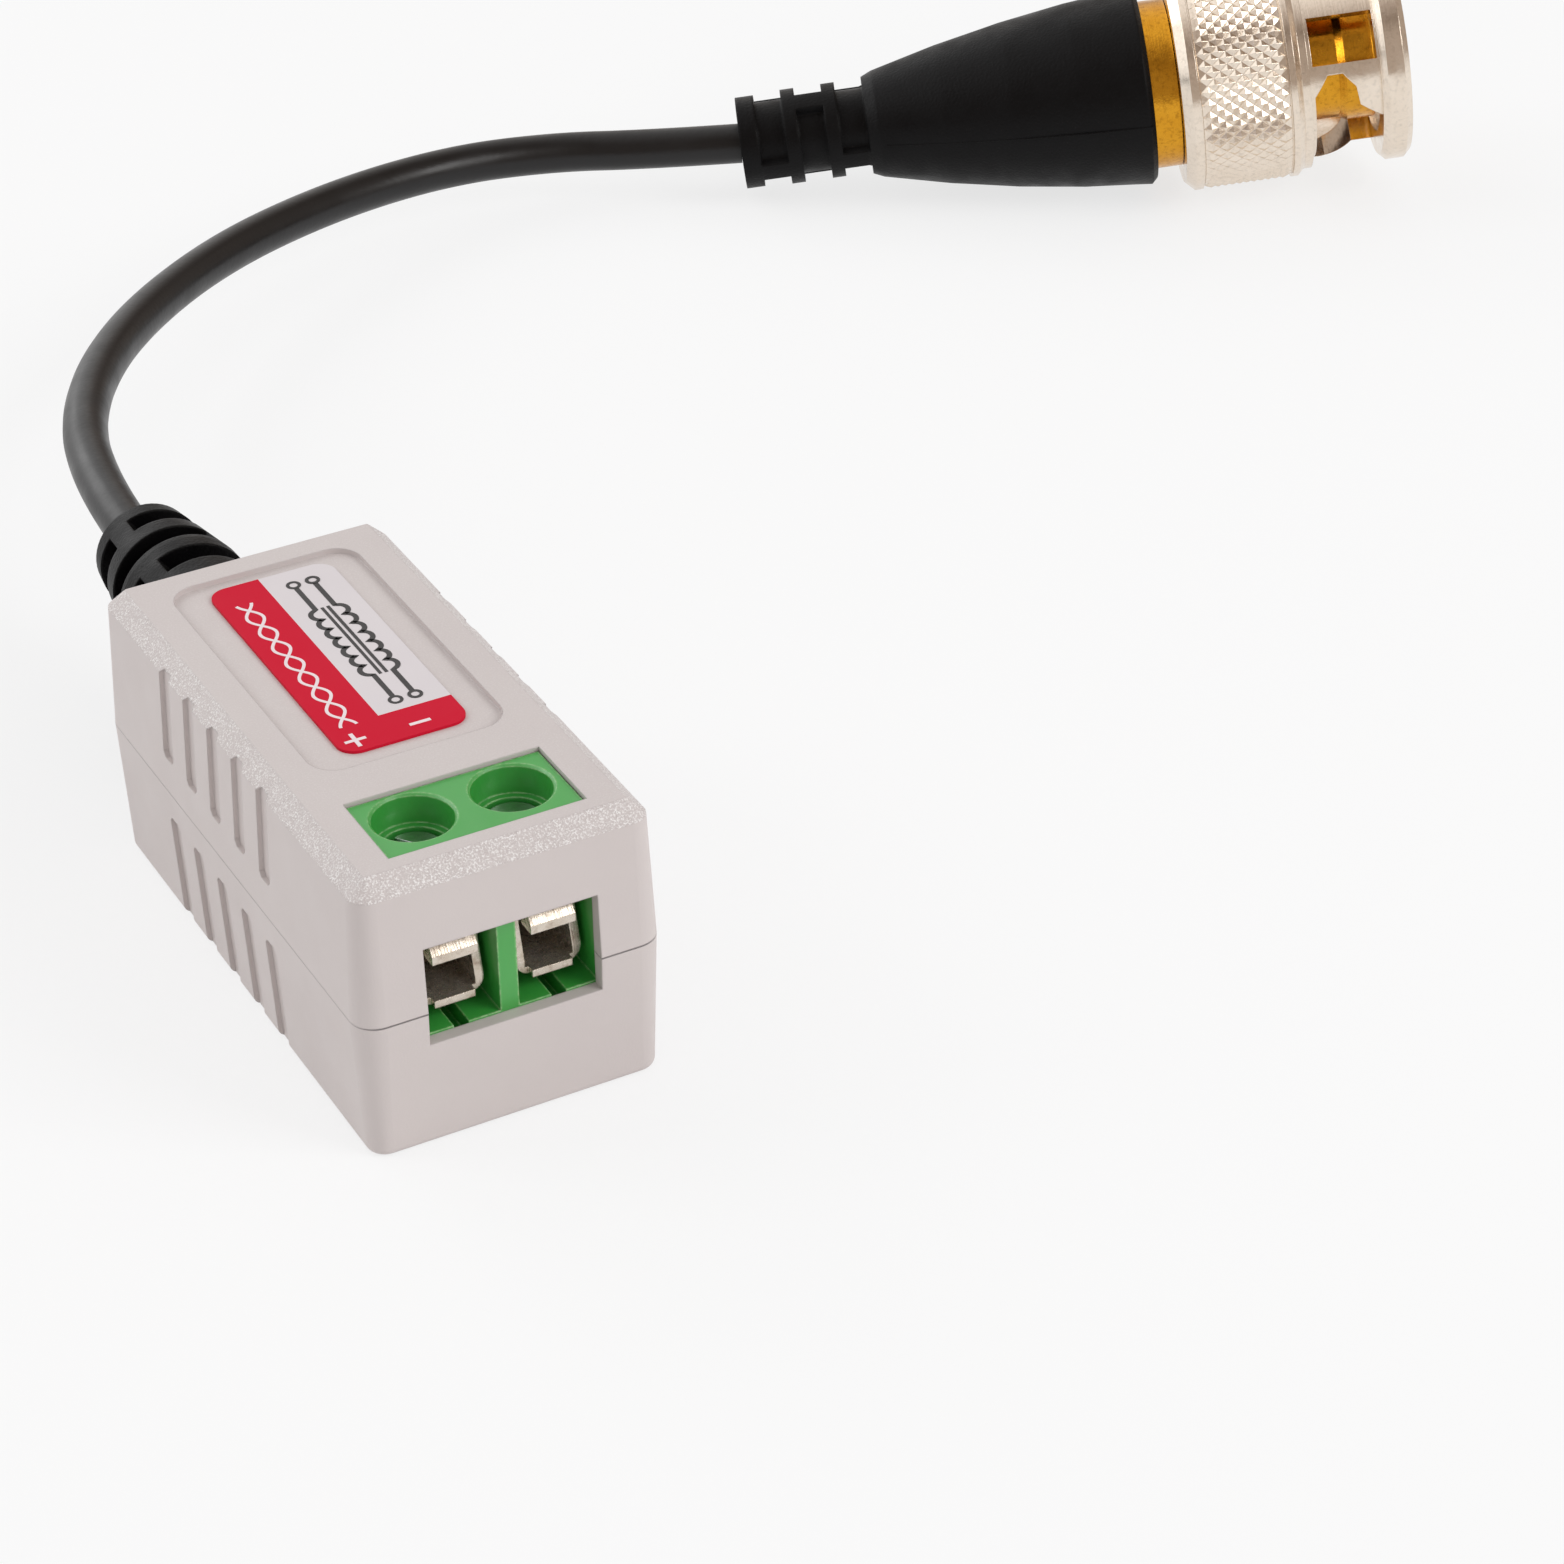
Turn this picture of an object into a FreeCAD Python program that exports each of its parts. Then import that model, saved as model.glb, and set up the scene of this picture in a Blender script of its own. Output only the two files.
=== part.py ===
import FreeCAD, Part

import math
import os

import Sketcher
from FreeCAD import Placement, Rotation, Vector

# A passive video balun: a small grey two-part case with a screw terminal for a wire pair
# at the front, and a short coaxial lead with a bayonet plug at the back.
# X is the case's width, Y its length with the terminal at -Y, Z is up from the table.

# Driving dimensions in millimetres
DIMENSIONS = {
    # Case
    "case_length": 32.0,
    "case_width": 15.8,
    "case_height": 15.4,
    "parting_height": 7.7,
    "case_draft": 2.4,
    "top_bevel": 0.9,
    "corner_margin": 0.42,
    "base_round": 0.45,
    "side_wall": 1.3,
    "front_wall": 0.8,
    "floor_wall": 1.3,
    "roof_wall": 1.3,
    "fit_gap": 0.05,
    # Lip that locates the two halves
    "lip_width": 0.6,
    "lip_height": 0.7,
    "lip_start": 11.6,
    # Locating posts and pegs
    "post_width": 1.7,
    "post_length": 2.0,
    "front_post_gap": 0.27,
    "front_post_setback": 1.5,
    "peg_radius": 0.45,
    "peg_height": 1.1,
    # Grip grooves on the sides
    "groove_width": 1.3,
    "groove_depth": 0.25,
    "groove_pitch": 3.05,
    "groove_front": 4.85,
    "upper_groove_start": 1.95,
    "upper_groove_end": 7.0,
    "lower_groove_start": 1.65,
    "lower_groove_run_out": 8.4,
    # Label and its recess
    "recess_width": 10.1,
    "recess_rear": 13.4,
    "recess_front": 6.0,
    "recess_depth": 0.3,
    "recess_corner": 1.5,
    "label_left": 3.2,
    "label_right": 3.5,
    "label_rear": 12.6,
    "label_front": 4.7,
    "label_thickness": 0.15,
    "label_corner": 1.0,
    # Windows in the case
    "entry_width": 8.96,
    "entry_bottom": 1.29,
    "entry_top": 6.67,
    "top_window_gap": 0.08,
    # Circuit board
    "board_bottom": 3.0,
    "board_thickness": 1.6,
    "board_gap": 0.3,
    "ledge_width": 1.3,
    "ledge_length": 22.0,
    "clamp_post_length": 2.0,
    "clamp_post_place": 9.0,
    # Screw terminal, measured back from the case's front wall and up from the board
    "pole_pitch": 5.08,
    "block_width": 9.96,
    "block_length": 8.6,
    "block_recess": 0.2,
    "block_shoulder": 9.0,
    "block_brow": 7.3,
    "neck_front": 1.35,
    "neck_rear": 6.35,
    "chamber_width": 4.1,
    "chamber_floor": 1.4,
    "chamber_roof": 8.4,
    "chamber_front": 1.2,
    "chamber_length": 6.3,
    "mouth_top": 6.9,
    "well_radius": 1.975,
    "well_bevel": 0.12,
    "throat_radius": 1.6,
    "screw_place": 4.15,
    "floor_slot_width": 0.77,
    "floor_slot_depth": 0.9,
    "floor_slot_length": 2.8,
    # Contact strip and solder pin
    "strip": 0.45,
    "contact_width": 2.34,
    "contact_underside": 4.96,
    "contact_front": 0.2,
    "contact_tip_rise": 1.16,
    "contact_tip_run": 0.58,
    "pin_width": 0.9,
    "pin_below_board": 1.1,
    # Clamp cage
    "cage_width": 3.4,
    "cage_floor_top": 2.65,
    "cage_floor": 0.4,
    "cage_roof": 0.8,
    "cage_toe": 0.95,
    "cage_slope": 0.45,
    "cage_length": 5.65,
    "cage_lip": 0.4,
    "cage_lip_width": 2.1,
    "cage_round": 0.75,
    "cage_slope_top": 4.9,
    # Clamp screw
    "screw_radius": 1.25,
    "screw_head_radius": 1.45,
    "screw_head": 0.6,
    "screw_length": 3.47,
    "screw_slot_width": 0.55,
    "screw_slot_depth": 0.4,
    "screw_bevel": 0.12,
    "running_gap": 0.05,
    # Toroid transformer
    "core_outer": 4.2,
    "core_inner": 2.3,
    "core_height": 3.2,
    "core_gap": 0.5,
    "core_bevel": 0.3,
    "wire_build": 0.6,
    "turn_width": 0.56,
    # Small components
    "diode_length": 4.3,
    "diode_width": 2.6,
    "diode_height": 2.1,
    "diode_lead": 0.9,
    "diode_lead_width": 1.5,
    "diode_setback": 4.0,
    "diode_offset": 2.4,
    "capacitor_length": 2.0,
    "capacitor_width": 1.25,
    "capacitor_height": 0.85,
    "capacitor_band": 0.4,
    "capacitor_lap": 0.05,
    "capacitor_offset": 3.4,
    # Lead ends inside the case
    "core_wire_radius": 0.45,
    "braid_radius": 0.5,
    "wire_spread": 0.75,
    "wire_landing": 1.7,
    "landing_setback": 2.0,
    "wire_end": 3.3,
    "wire_hole_gap": 0.08,
    # Strain relief at the case
    "relief_flange_radius": 3.6,
    "relief_flange": 1.35,
    "relief_neck_radius": 2.65,
    "relief_collar_radius": 3.75,
    "relief_collar": 0.95,
    "relief_waist_radius": 3.6,
    "relief_waist": 8.0,
    "relief_tip_radius": 2.8,
    "relief_core_radius": 1.95,
    "relief_length": 15.5,
    "relief_nose": 0.7,
    "relief_nose_radius": 1.9,
    "relief_ring": 1.3,
    "relief_slot": 1.5,
    "relief_web": 1.3,
    "relief_end": 1.8,
    # Coaxial cable
    "cable_diameter": 2.6,
    # Moulded boot on the plug, along the plug's axis from the cable end
    "boot_flange": 1.2,
    "boot_flange_radius": 3.0,
    "boot_ring": 0.9,
    "boot_ring_pitch": 2.7,
    "boot_ring_radius": 3.1,
    "boot_core_radius": 2.5,
    "boot_web": 1.3,
    "boot_body_start": 9.1,
    "boot_body_radius": 3.5,
    "boot_end": 26.9,
    "boot_end_radius": 6.45,
    "boot_swell": 0.42,
    "boot_edge": 0.35,
    # Plug body
    "neck_radius": 5.5,
    "neck_start": 21.0,
    "neck_end": 28.65,
    "journal_radius": 4.8,
    "journal_end": 32.9,
    "sleeve_radius": 3.8,
    "sleeve_lip_radius": 4.05,
    "sleeve_lip": 2.6,
    "sleeve_end": 41.8,
    "sleeve_bore": 2.45,
    "sleeve_bore_start": 30.0,
    "mouth_bevel": 0.25,
    # Insulator and centre pin
    "insulator_end": 39.4,
    "pin_radius": 0.68,
    "pin_tip": 41.2,
    "pin_cone": 1.0,
    # Coupling nut
    "nut_start": 28.7,
    "nut_flange": 1.3,
    "rim_radius": 7.25,
    "rim_bevel": 0.6,
    "rear_rim": 1.1,
    "grip_end": 35.7,
    "grip_depth": 0.3,
    "knurl_gap": 0.1,
    "knurl_below_rim": 0.015,
    "knurl_depth": 0.195,
    "knurl_foot": 0.24,
    "front_rim": 0.4,
    "shoulder_radius": 6.85,
    "shoulder_end": 37.0,
    "barrel_radius": 6.2,
    "bead_start": 41.6,
    "bead_radius": 7.0,
    "nut_end": 43.5,
    "nut_bore": 5.05,
    "nut_mouth": 6.1,
    "nut_chamber": 6.3,
    "nut_edge": 0.4,
    "window_start": 37.3,
    "window_left": 5.1,
    "window_right": 4.9,
    "gate_width": 3.2,
    "gate_angle": -76.5,
    # Spring pack between the nut and the body
    "spring_inner": 5.0,
    "spring_outer": 6.1,
    "spring_strip": 0.25,
    "spring_swing": 0.85,
    "washer_thickness": 0.4,
    "ring_thickness": 0.6,
    "ring_groove": 0.4,
    "ring_radius": 5.7,
    "ring_opening": 1.6,
    "gasket_radius": 4.75,
    "gasket_length": 0.8,
}

# Where the plug lies: its cable end and the way it points, tilted up because the nut is its widest place
PLUG_POINT = Vector(56.43, 67.75, 3.78)
PLUG_WAY = Vector(0.8944, -0.4314, 0.1181).normalize()
NUT_ROLL = -50.0

# Route of the lead from the case's strain relief to the plug, chosen by hand
CABLE_ROUTE = [
    Vector(0.0, 31.5, 7.7),
    Vector(0.0, 38.6, 7.7),
    Vector(2.6, 47.4, 7.3),
    Vector(8.4, 57.3, 6.5),
    Vector(18.1, 66.5, 5.3),
    Vector(29.7, 72.6, 3.9),
    Vector(41.7, 74.7, 2.9),
    PLUG_POINT - PLUG_WAY * 7.0,
    PLUG_POINT,
]

GROOVES_PER_SIDE = 5
TURNS_PER_WINDING = 9
TURN_STEP = 15.0
SPRING_WAVES = 3
BELL_STEPS = 4
BOOT_SLOTS = 3
THROAT_SHARE = 0.2727
DIAMONDS_ROUND = 54
DIAMOND_ROWS = 6

doc = FreeCAD.newDocument("VideoBalun")
sheet = doc.addObject("Spreadsheet::Sheet", "Sizes")
parts = []


class Size:
    """A length that carries its value and the sheet formula that gives it."""

    def __init__(self, value, formula):
        self.value = float(value)
        self.formula = formula

    def __float__(self):
        return self.value

    def __neg__(self):
        return Size(-self.value, f"(-{self.formula})")

    def __add__(self, other):
        other = as_size(other)
        return Size(self.value + other.value, f"({self.formula} + {other.formula})")

    def __radd__(self, other):
        return as_size(other) + self

    def __sub__(self, other):
        return self + (-as_size(other))

    def __rsub__(self, other):
        return as_size(other) - self

    def __mul__(self, factor):
        return Size(self.value * factor, f"({self.formula} * {factor})")

    def __rmul__(self, factor):
        return self * factor

    def __truediv__(self, factor):
        return Size(self.value / factor, f"({self.formula} / {factor})")


def as_size(number):
    """Return the number as a Size."""
    if isinstance(number, Size):
        return number
    return Size(number, f"({float(number)})")


class SizeTable:
    """The sheet's cells as named sizes."""

    def __init__(self, dimensions):
        for row, (name, value) in enumerate(dimensions.items(), start=1):
            sheet.set(f"A{row}", name)
            sheet.set(f"B{row}", str(value))
            sheet.setAlias(f"B{row}", name)
            setattr(self, name, Size(value, f"Sizes.{name}"))
        doc.recompute()


D = SizeTable(DIMENSIONS)


def bind(thing, prop, size):
    """Tie one property of an object to the sheet."""
    thing.setExpression(prop, as_size(size).formula)


def new_body(label):
    """Start a sub-part that is built from sketches."""
    body = doc.addObject("PartDesign::Body", label)
    body.Label = label
    parts.append(body)
    return body


def keep(thing, label):
    """Name a finished sub-part."""
    thing.Label = label
    parts.append(thing)
    return thing


def plane(body, role):
    """Find one of the body's own origin planes or axes."""
    return next(feature for feature in body.Origin.OriginFeatures if feature.Role == role)


def new_sketch(body, role, height=None, tilt=None):
    """Attach an empty sketch to an origin plane, moved along its normal."""
    sketch = body.newObject("Sketcher::SketchObject", "Sketch")
    sketch.AttachmentSupport = (plane(body, role), [""])
    sketch.MapMode = "FlatFace"
    if tilt is not None:
        sketch.AttachmentOffset = Placement(Vector(), tilt)
    if height is not None:
        bind(sketch, ".AttachmentOffset.Base.z", height)
    return sketch


def pin_point(sketch, geometry, end, x, y):
    """Hold one end of a line at a sheet-driven place."""
    across = sketch.addConstraint(Sketcher.Constraint("DistanceX", -1, 1, geometry, end, float(x)))
    bind(sketch, f"Constraints[{across}]", x)
    along = sketch.addConstraint(Sketcher.Constraint("DistanceY", -1, 1, geometry, end, float(y)))
    bind(sketch, f"Constraints[{along}]", y)


def add_outline(sketch, points):
    """Draw a closed outline of straight lines through the points."""
    spots = [Vector(float(x), float(y), 0) for x, y in points]
    first = sketch.GeometryCount
    count = len(spots)
    for index in range(count):
        sketch.addGeometry(Part.LineSegment(spots[index], spots[(index + 1) % count]), False)
    for index in range(count):
        following = first + (index + 1) % count
        sketch.addConstraint(Sketcher.Constraint("Coincident", first + index, 2, following, 1))
    for index, (x, y) in enumerate(points):
        pin_point(sketch, first + index, 1, x, y)


def add_circle(sketch, x, y, radius):
    """Draw a circle with a sheet-driven centre and radius."""
    centre = Vector(float(x), float(y), 0)
    circle = sketch.addGeometry(Part.Circle(centre, Vector(0, 0, 1), float(radius)), False)
    pin_point(sketch, circle, 3, x, y)
    held = sketch.addConstraint(Sketcher.Constraint("Radius", circle, float(radius)))
    bind(sketch, f"Constraints[{held}]", radius)


def outline(body, role, points, height=None, tilt=None):
    """Attach a sketch and draw one closed outline in it."""
    sketch = new_sketch(body, role, height, tilt)
    add_outline(sketch, points)
    return sketch


def rounded_outline(body, role, box, radius, height=None):
    """Attach a sketch with one rectangle whose corners are arcs."""
    sketch = new_sketch(body, role, height)
    left, right, low, high = (float(place) for place in box)
    r = float(radius)
    lines = [
        ((left + r, low), (right - r, low)),
        ((right, low + r), (right, high - r)),
        ((right - r, high), (left + r, high)),
        ((left, high - r), (left, low + r)),
    ]
    centres = [(right - r, low + r), (right - r, high - r), (left + r, high - r), (left + r, low + r)]
    for quarter, ((start, end), (x, y)) in enumerate(zip(lines, centres)):
        sketch.addGeometry(Part.LineSegment(Vector(*start, 0), Vector(*end, 0)), False)
        circle = Part.Circle(Vector(x, y, 0), Vector(0, 0, 1), r)
        angle = math.pi / 2 * (quarter - 1)
        sketch.addGeometry(Part.ArcOfCircle(circle, angle, angle + math.pi / 2), False)
    holds = [
        ("Horizontal", "DistanceY", box[2]),
        ("Vertical", "DistanceX", box[1]),
        ("Horizontal", "DistanceY", box[3]),
        ("Vertical", "DistanceX", box[0]),
    ]
    for quarter, (direction, distance, place) in enumerate(holds):
        line = quarter * 2
        arc = line + 1
        sketch.addConstraint(Sketcher.Constraint("Tangent", line, 2, arc, 1))
        sketch.addConstraint(Sketcher.Constraint("Tangent", arc, 2, (arc + 1) % 8, 1))
        sketch.addConstraint(Sketcher.Constraint(direction, line))
        held = sketch.addConstraint(Sketcher.Constraint("Radius", arc, r))
        bind(sketch, f"Constraints[{held}]", radius)
        held = sketch.addConstraint(Sketcher.Constraint(distance, -1, 1, line, 1, float(place)))
        bind(sketch, f"Constraints[{held}]", place)
    return sketch


def box_points(x_low, x_high, y_low, y_high):
    """Corners of an upright rectangle."""
    return [(x_low, y_low), (x_high, y_low), (x_high, y_high), (x_low, y_high)]


def extrude(body, kind, sketch, length, reverse=False, middle=False, taper=None):
    """Pad or pocket a sketch by a sheet-driven length."""
    feature = body.newObject(f"PartDesign::{kind}", kind)
    feature.Profile = sketch
    bind(feature, "Length", length)
    feature.Reversed = reverse
    if middle:
        feature.SideType = "Symmetric"
    if taper is not None:
        bind(feature, "TaperAngle", taper)
    sketch.Visibility = False
    doc.recompute()
    return feature


def pad(body, sketch, length, **options):
    """Add the sketch's prism to the body."""
    return extrude(body, "Pad", sketch, length, **options)


def pocket(body, sketch, length, **options):
    """Cut the sketch's prism from the body."""
    return extrude(body, "Pocket", sketch, length, **options)


def revolve(body, points, kind="Revolution"):
    """Turn an outline, given as radius and height, about the body's Z axis."""
    sketch = outline(body, "XZ_Plane", points)
    feature = body.newObject(f"PartDesign::{kind}", kind)
    feature.Profile = sketch
    feature.ReferenceAxis = (sketch, ["V_Axis"])
    feature.Angle = 360.0
    doc.recompute()
    return feature


def dress(body, kind, test, size):
    """Round or bevel the edges of the body's last feature that pass the test."""
    base = body.Tip
    names = [f"Edge{index}" for index, edge in enumerate(base.Shape.Edges, start=1) if test(edge)]
    feature = body.newObject(f"PartDesign::{kind}", kind)
    feature.Base = (base, names)
    bind(feature, "Radius" if kind == "Fillet" else "Size", size)
    doc.recompute()
    return feature


def repeat(body, feature, kind, **settings):
    """Repeat a feature with a pattern and make the pattern the body's result."""
    pattern = body.newObject(f"PartDesign::{kind}", kind)
    pattern.Originals = [feature]
    for name, value in settings.items():
        if isinstance(value, Size):
            bind(pattern, name, value)
        else:
            setattr(pattern, name, value)
    body.Tip = pattern
    doc.recompute()
    return pattern


def on_level(edge, height):
    """Tell whether an edge lies flat at this height."""
    box = edge.BoundBox
    return abs(box.ZMin - float(height)) < 1e-4 and abs(box.ZMax - float(height)) < 1e-4


def primitive(kind, sizes, place=None, turn=None):
    """Make a Part primitive whose sizes and place are bound to the sheet."""
    solid = doc.addObject(f"Part::{kind}", kind)
    for name, size in sizes.items():
        bind(solid, name, size)
    if turn is not None:
        solid.Placement = Placement(Vector(), turn)
    for axis, size in zip("xyz", place or ()):
        bind(solid, f".Placement.Base.{axis}", size)
    return solid


def fuse(solids):
    """Join Part solids into one."""
    joined = doc.addObject("Part::MultiFuse", "Fuse")
    joined.Shapes = solids
    return joined


def cut(base, tool):
    """Cut one Part solid from another."""
    result = doc.addObject("Part::Cut", "Cut")
    result.Base = base
    result.Tool = tool
    return result


# Levels and half widths that several pieces share
half_length = D.case_length / 2
half_width = D.case_width / 2
cavity_half = half_width - D.side_wall
cavity_front = half_length - D.front_wall
cavity_rear = half_length - D.side_wall
board_top = D.board_bottom + D.board_thickness
board_half = cavity_half - D.board_gap
board_rear = cavity_rear - D.post_length - D.board_gap
front_post_inner = D.block_width / 2 + D.front_post_gap
winding_radius = D.core_outer + D.running_gap + D.wire_build
core_place = D.block_length - cavity_front + D.core_gap + winding_radius
diode_place = board_rear - D.diode_setback
landing_place = board_rear - D.landing_setback
block_top = D.case_height - D.block_recess - board_top
bar_top = D.contact_underside + D.strip
leg_rear = D.chamber_front + D.chamber_length
hole_radius = D.relief_neck_radius + D.fit_gap
pole_places = {"left": -D.pole_pitch / 2, "right": D.pole_pitch / 2}


def post_boxes():
    """Corner posts of the case: outline corners and peg centre, for one side."""
    rear_edge = cavity_half - D.post_width
    front_start = -cavity_front + D.front_post_setback
    rear_start = cavity_rear - D.post_length
    return [
        (rear_edge, rear_start, cavity_rear),
        (front_post_inner, front_start, front_start + D.post_length),
    ]


def mirrored_box(side, x_low, x_high, y_low, y_high):
    """Rectangle on the right, or its mirror image on the left."""
    if side > 0:
        return box_points(x_low, x_high, y_low, y_high)
    return box_points(-x_high, -x_low, y_low, y_high)


def lip_outline(outer_inset):
    """Outline of the locating lip along the sides and the back."""
    outer_x = half_width - outer_inset
    outer_y = half_length - outer_inset
    start = -D.lip_start
    return [
        (outer_x, start),
        (outer_x, outer_y),
        (-outer_x, outer_y),
        (-outer_x, start),
        (-cavity_half, start),
        (-cavity_half, cavity_rear),
        (cavity_half, cavity_rear),
        (cavity_half, start),
    ]


def side_grooves(body, low, high, lean):
    """Cut the shallow grip grooves into both sides, along the drafted wall."""
    reach = D.groove_width / 2
    bevel = D.groove_width / 5
    for side in (1, -1):
        first = -D.groove_front
        points = [
            (first - reach + bevel, low),
            (first + reach - bevel, low),
            (first + reach, low + bevel),
            (first + reach, high - bevel),
            (first + reach - bevel, high),
            (first - reach + bevel, high),
            (first - reach, high - bevel),
            (first - reach, low + bevel),
        ]
        tilt = Rotation(Vector(1, 0, 0), side * lean)
        sketch = outline(body, "YZ_Plane", points, (half_width - D.groove_depth) * side, tilt)
        groove = pocket(body, sketch, D.groove_depth * 6, reverse=side > 0)
        repeat(
            body, groove, "LinearPattern",
            Direction=(sketch, ["H_Axis"]),
            Length=D.groove_pitch * (GROOVES_PER_SIDE - 1),
            Occurrences=GROOVES_PER_SIDE,
        )


def make_shell(label, height, wall, upward):
    """One half of the case: drafted block, rounded corners, cavity and posts."""
    body = new_body(label)
    sign = 1 if upward else -1
    block = (-half_width, half_width, -half_length, half_length)
    sketch = rounded_outline(body, "XY_Plane", block, D.top_bevel + D.corner_margin)
    pad(body, sketch, height, reverse=not upward, taper=-D.case_draft)
    far = height * sign
    if upward:
        dress(body, "Chamfer", lambda edge: on_level(edge, far), D.top_bevel)
    else:
        dress(body, "Fillet", lambda edge: on_level(edge, far), D.base_round)
    cavity = outline(body, "XY_Plane", box_points(-cavity_half, cavity_half, -cavity_front, cavity_rear))
    pocket(body, cavity, height - wall, reverse=upward)
    for x_low, y_low, y_high in post_boxes():
        for side in (1, -1):
            points = mirrored_box(side, x_low, cavity_half, y_low, y_high)
            post = outline(body, "XY_Plane", points)
            pad(body, post, height - wall, reverse=not upward)
    return body


def peg_centres():
    """Centres of the locating pegs, in the posts' middles."""
    return [
        ((x_low + cavity_half) / 2 * side, (y_low + y_high) / 2)
        for x_low, y_low, y_high in post_boxes()
        for side in (1, -1)
    ]


def cut_entry(body, low, high):
    """Open the wire entry window through the front wall."""
    sketch = outline(
        body, "XZ_Plane",
        box_points(-D.entry_width / 2, D.entry_width / 2, low, high),
        half_length + D.front_wall,
    )
    pocket(body, sketch, D.front_wall * 2)


def cut_relief_hole(body):
    """Open the half-round hole for the strain relief through the rear wall."""
    sketch = new_sketch(body, "XZ_Plane", -(half_length + D.side_wall))
    add_circle(sketch, 0, 0, hole_radius)
    pocket(body, sketch, D.side_wall * 2.5, reverse=True)


def make_lower_shell():
    """Lower half of the case, with board ledges, lip and pegs."""
    body = make_shell("lower_shell", D.parting_height, D.floor_wall, upward=False)
    for side in (1, -1):
        ledge = outline(
            body, "XY_Plane",
            mirrored_box(
                side, cavity_half - D.ledge_width, cavity_half,
                -D.ledge_length / 2, D.ledge_length / 2,
            ),
            D.floor_wall - D.parting_height,
        )
        pad(body, ledge, D.board_bottom - D.floor_wall)
    pad(body, outline(body, "XY_Plane", lip_outline(D.side_wall - D.lip_width)), D.lip_height)
    for x, y in peg_centres():
        peg = new_sketch(body, "XY_Plane")
        add_circle(peg, x, y, D.peg_radius)
        pad(body, peg, D.peg_height)
    cut_entry(body, board_top + D.entry_bottom - D.parting_height, D.lip_height * 2)
    cut_relief_hole(body)
    lean = float(D.case_draft)
    side_grooves(body, -D.lower_groove_run_out, -D.lower_groove_start, lean)
    bind(body, ".Placement.Base.z", D.parting_height)


def make_upper_shell():
    """Upper half of the case, with windows, label recess and clamp posts."""
    height = D.case_height - D.parting_height
    body = make_shell("upper_shell", height, D.roof_wall, upward=True)
    clamp_start = board_top + D.fit_gap - D.parting_height
    for side in (1, -1):
        clamp = outline(
            body, "XY_Plane",
            mirrored_box(
                side, cavity_half - D.ledge_width, cavity_half + D.side_wall / 2,
                D.clamp_post_place, D.clamp_post_place + D.clamp_post_length,
            ),
            height - D.roof_wall,
        )
        pad(body, clamp, height - D.roof_wall, reverse=True)
        foot = outline(
            body, "XY_Plane",
            mirrored_box(
                side, cavity_half - D.ledge_width, cavity_half - D.fit_gap,
                D.clamp_post_place, D.clamp_post_place + D.clamp_post_length,
            ),
        )
        pad(body, foot, -clamp_start, reverse=True)
    lip_gap = D.side_wall - D.lip_width - D.fit_gap
    pocket(body, outline(body, "XY_Plane", lip_outline(lip_gap)), D.lip_height + D.fit_gap, reverse=True)
    for x, y in peg_centres():
        socket = new_sketch(body, "XY_Plane")
        add_circle(socket, x, y, D.peg_radius + D.fit_gap)
        pocket(body, socket, D.peg_height + D.fit_gap * 2, reverse=True)
    cut_entry(body, -D.lip_height, board_top + D.entry_top - D.parting_height)
    cut_relief_hole(body)
    gap = D.top_window_gap
    window = outline(
        body, "XY_Plane",
        box_points(
            -D.block_width / 2 - gap, D.block_width / 2 + gap,
            D.neck_front - gap - cavity_front, D.neck_rear + gap - cavity_front,
        ),
        height,
    )
    pocket(body, window, D.roof_wall * 1.5)
    recess = (-D.recess_width / 2, D.recess_width / 2, -D.recess_front, D.recess_rear)
    pocket(body, rounded_outline(body, "XY_Plane", recess, D.recess_corner, height), D.recess_depth)
    side_grooves(body, D.upper_groove_start, D.upper_groove_end, -float(D.case_draft))
    bind(body, ".Placement.Base.z", D.parting_height)


def make_label():
    """Printed label lying in the recess on the case's top."""
    body = new_body("label")
    edges = (-D.label_left, D.label_right, -D.label_front, D.label_rear)
    pad(body, rounded_outline(body, "XY_Plane", edges, D.label_corner), D.label_thickness)
    bind(body, ".Placement.Base.z", D.case_height - D.recess_depth)


def place_on_board(body, centre=0):
    """Stand a terminal piece on the board against the case's front wall."""
    bind(body, ".Placement.Base.x", centre)
    bind(body, ".Placement.Base.y", -cavity_front)
    bind(body, ".Placement.Base.z", board_top)


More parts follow.
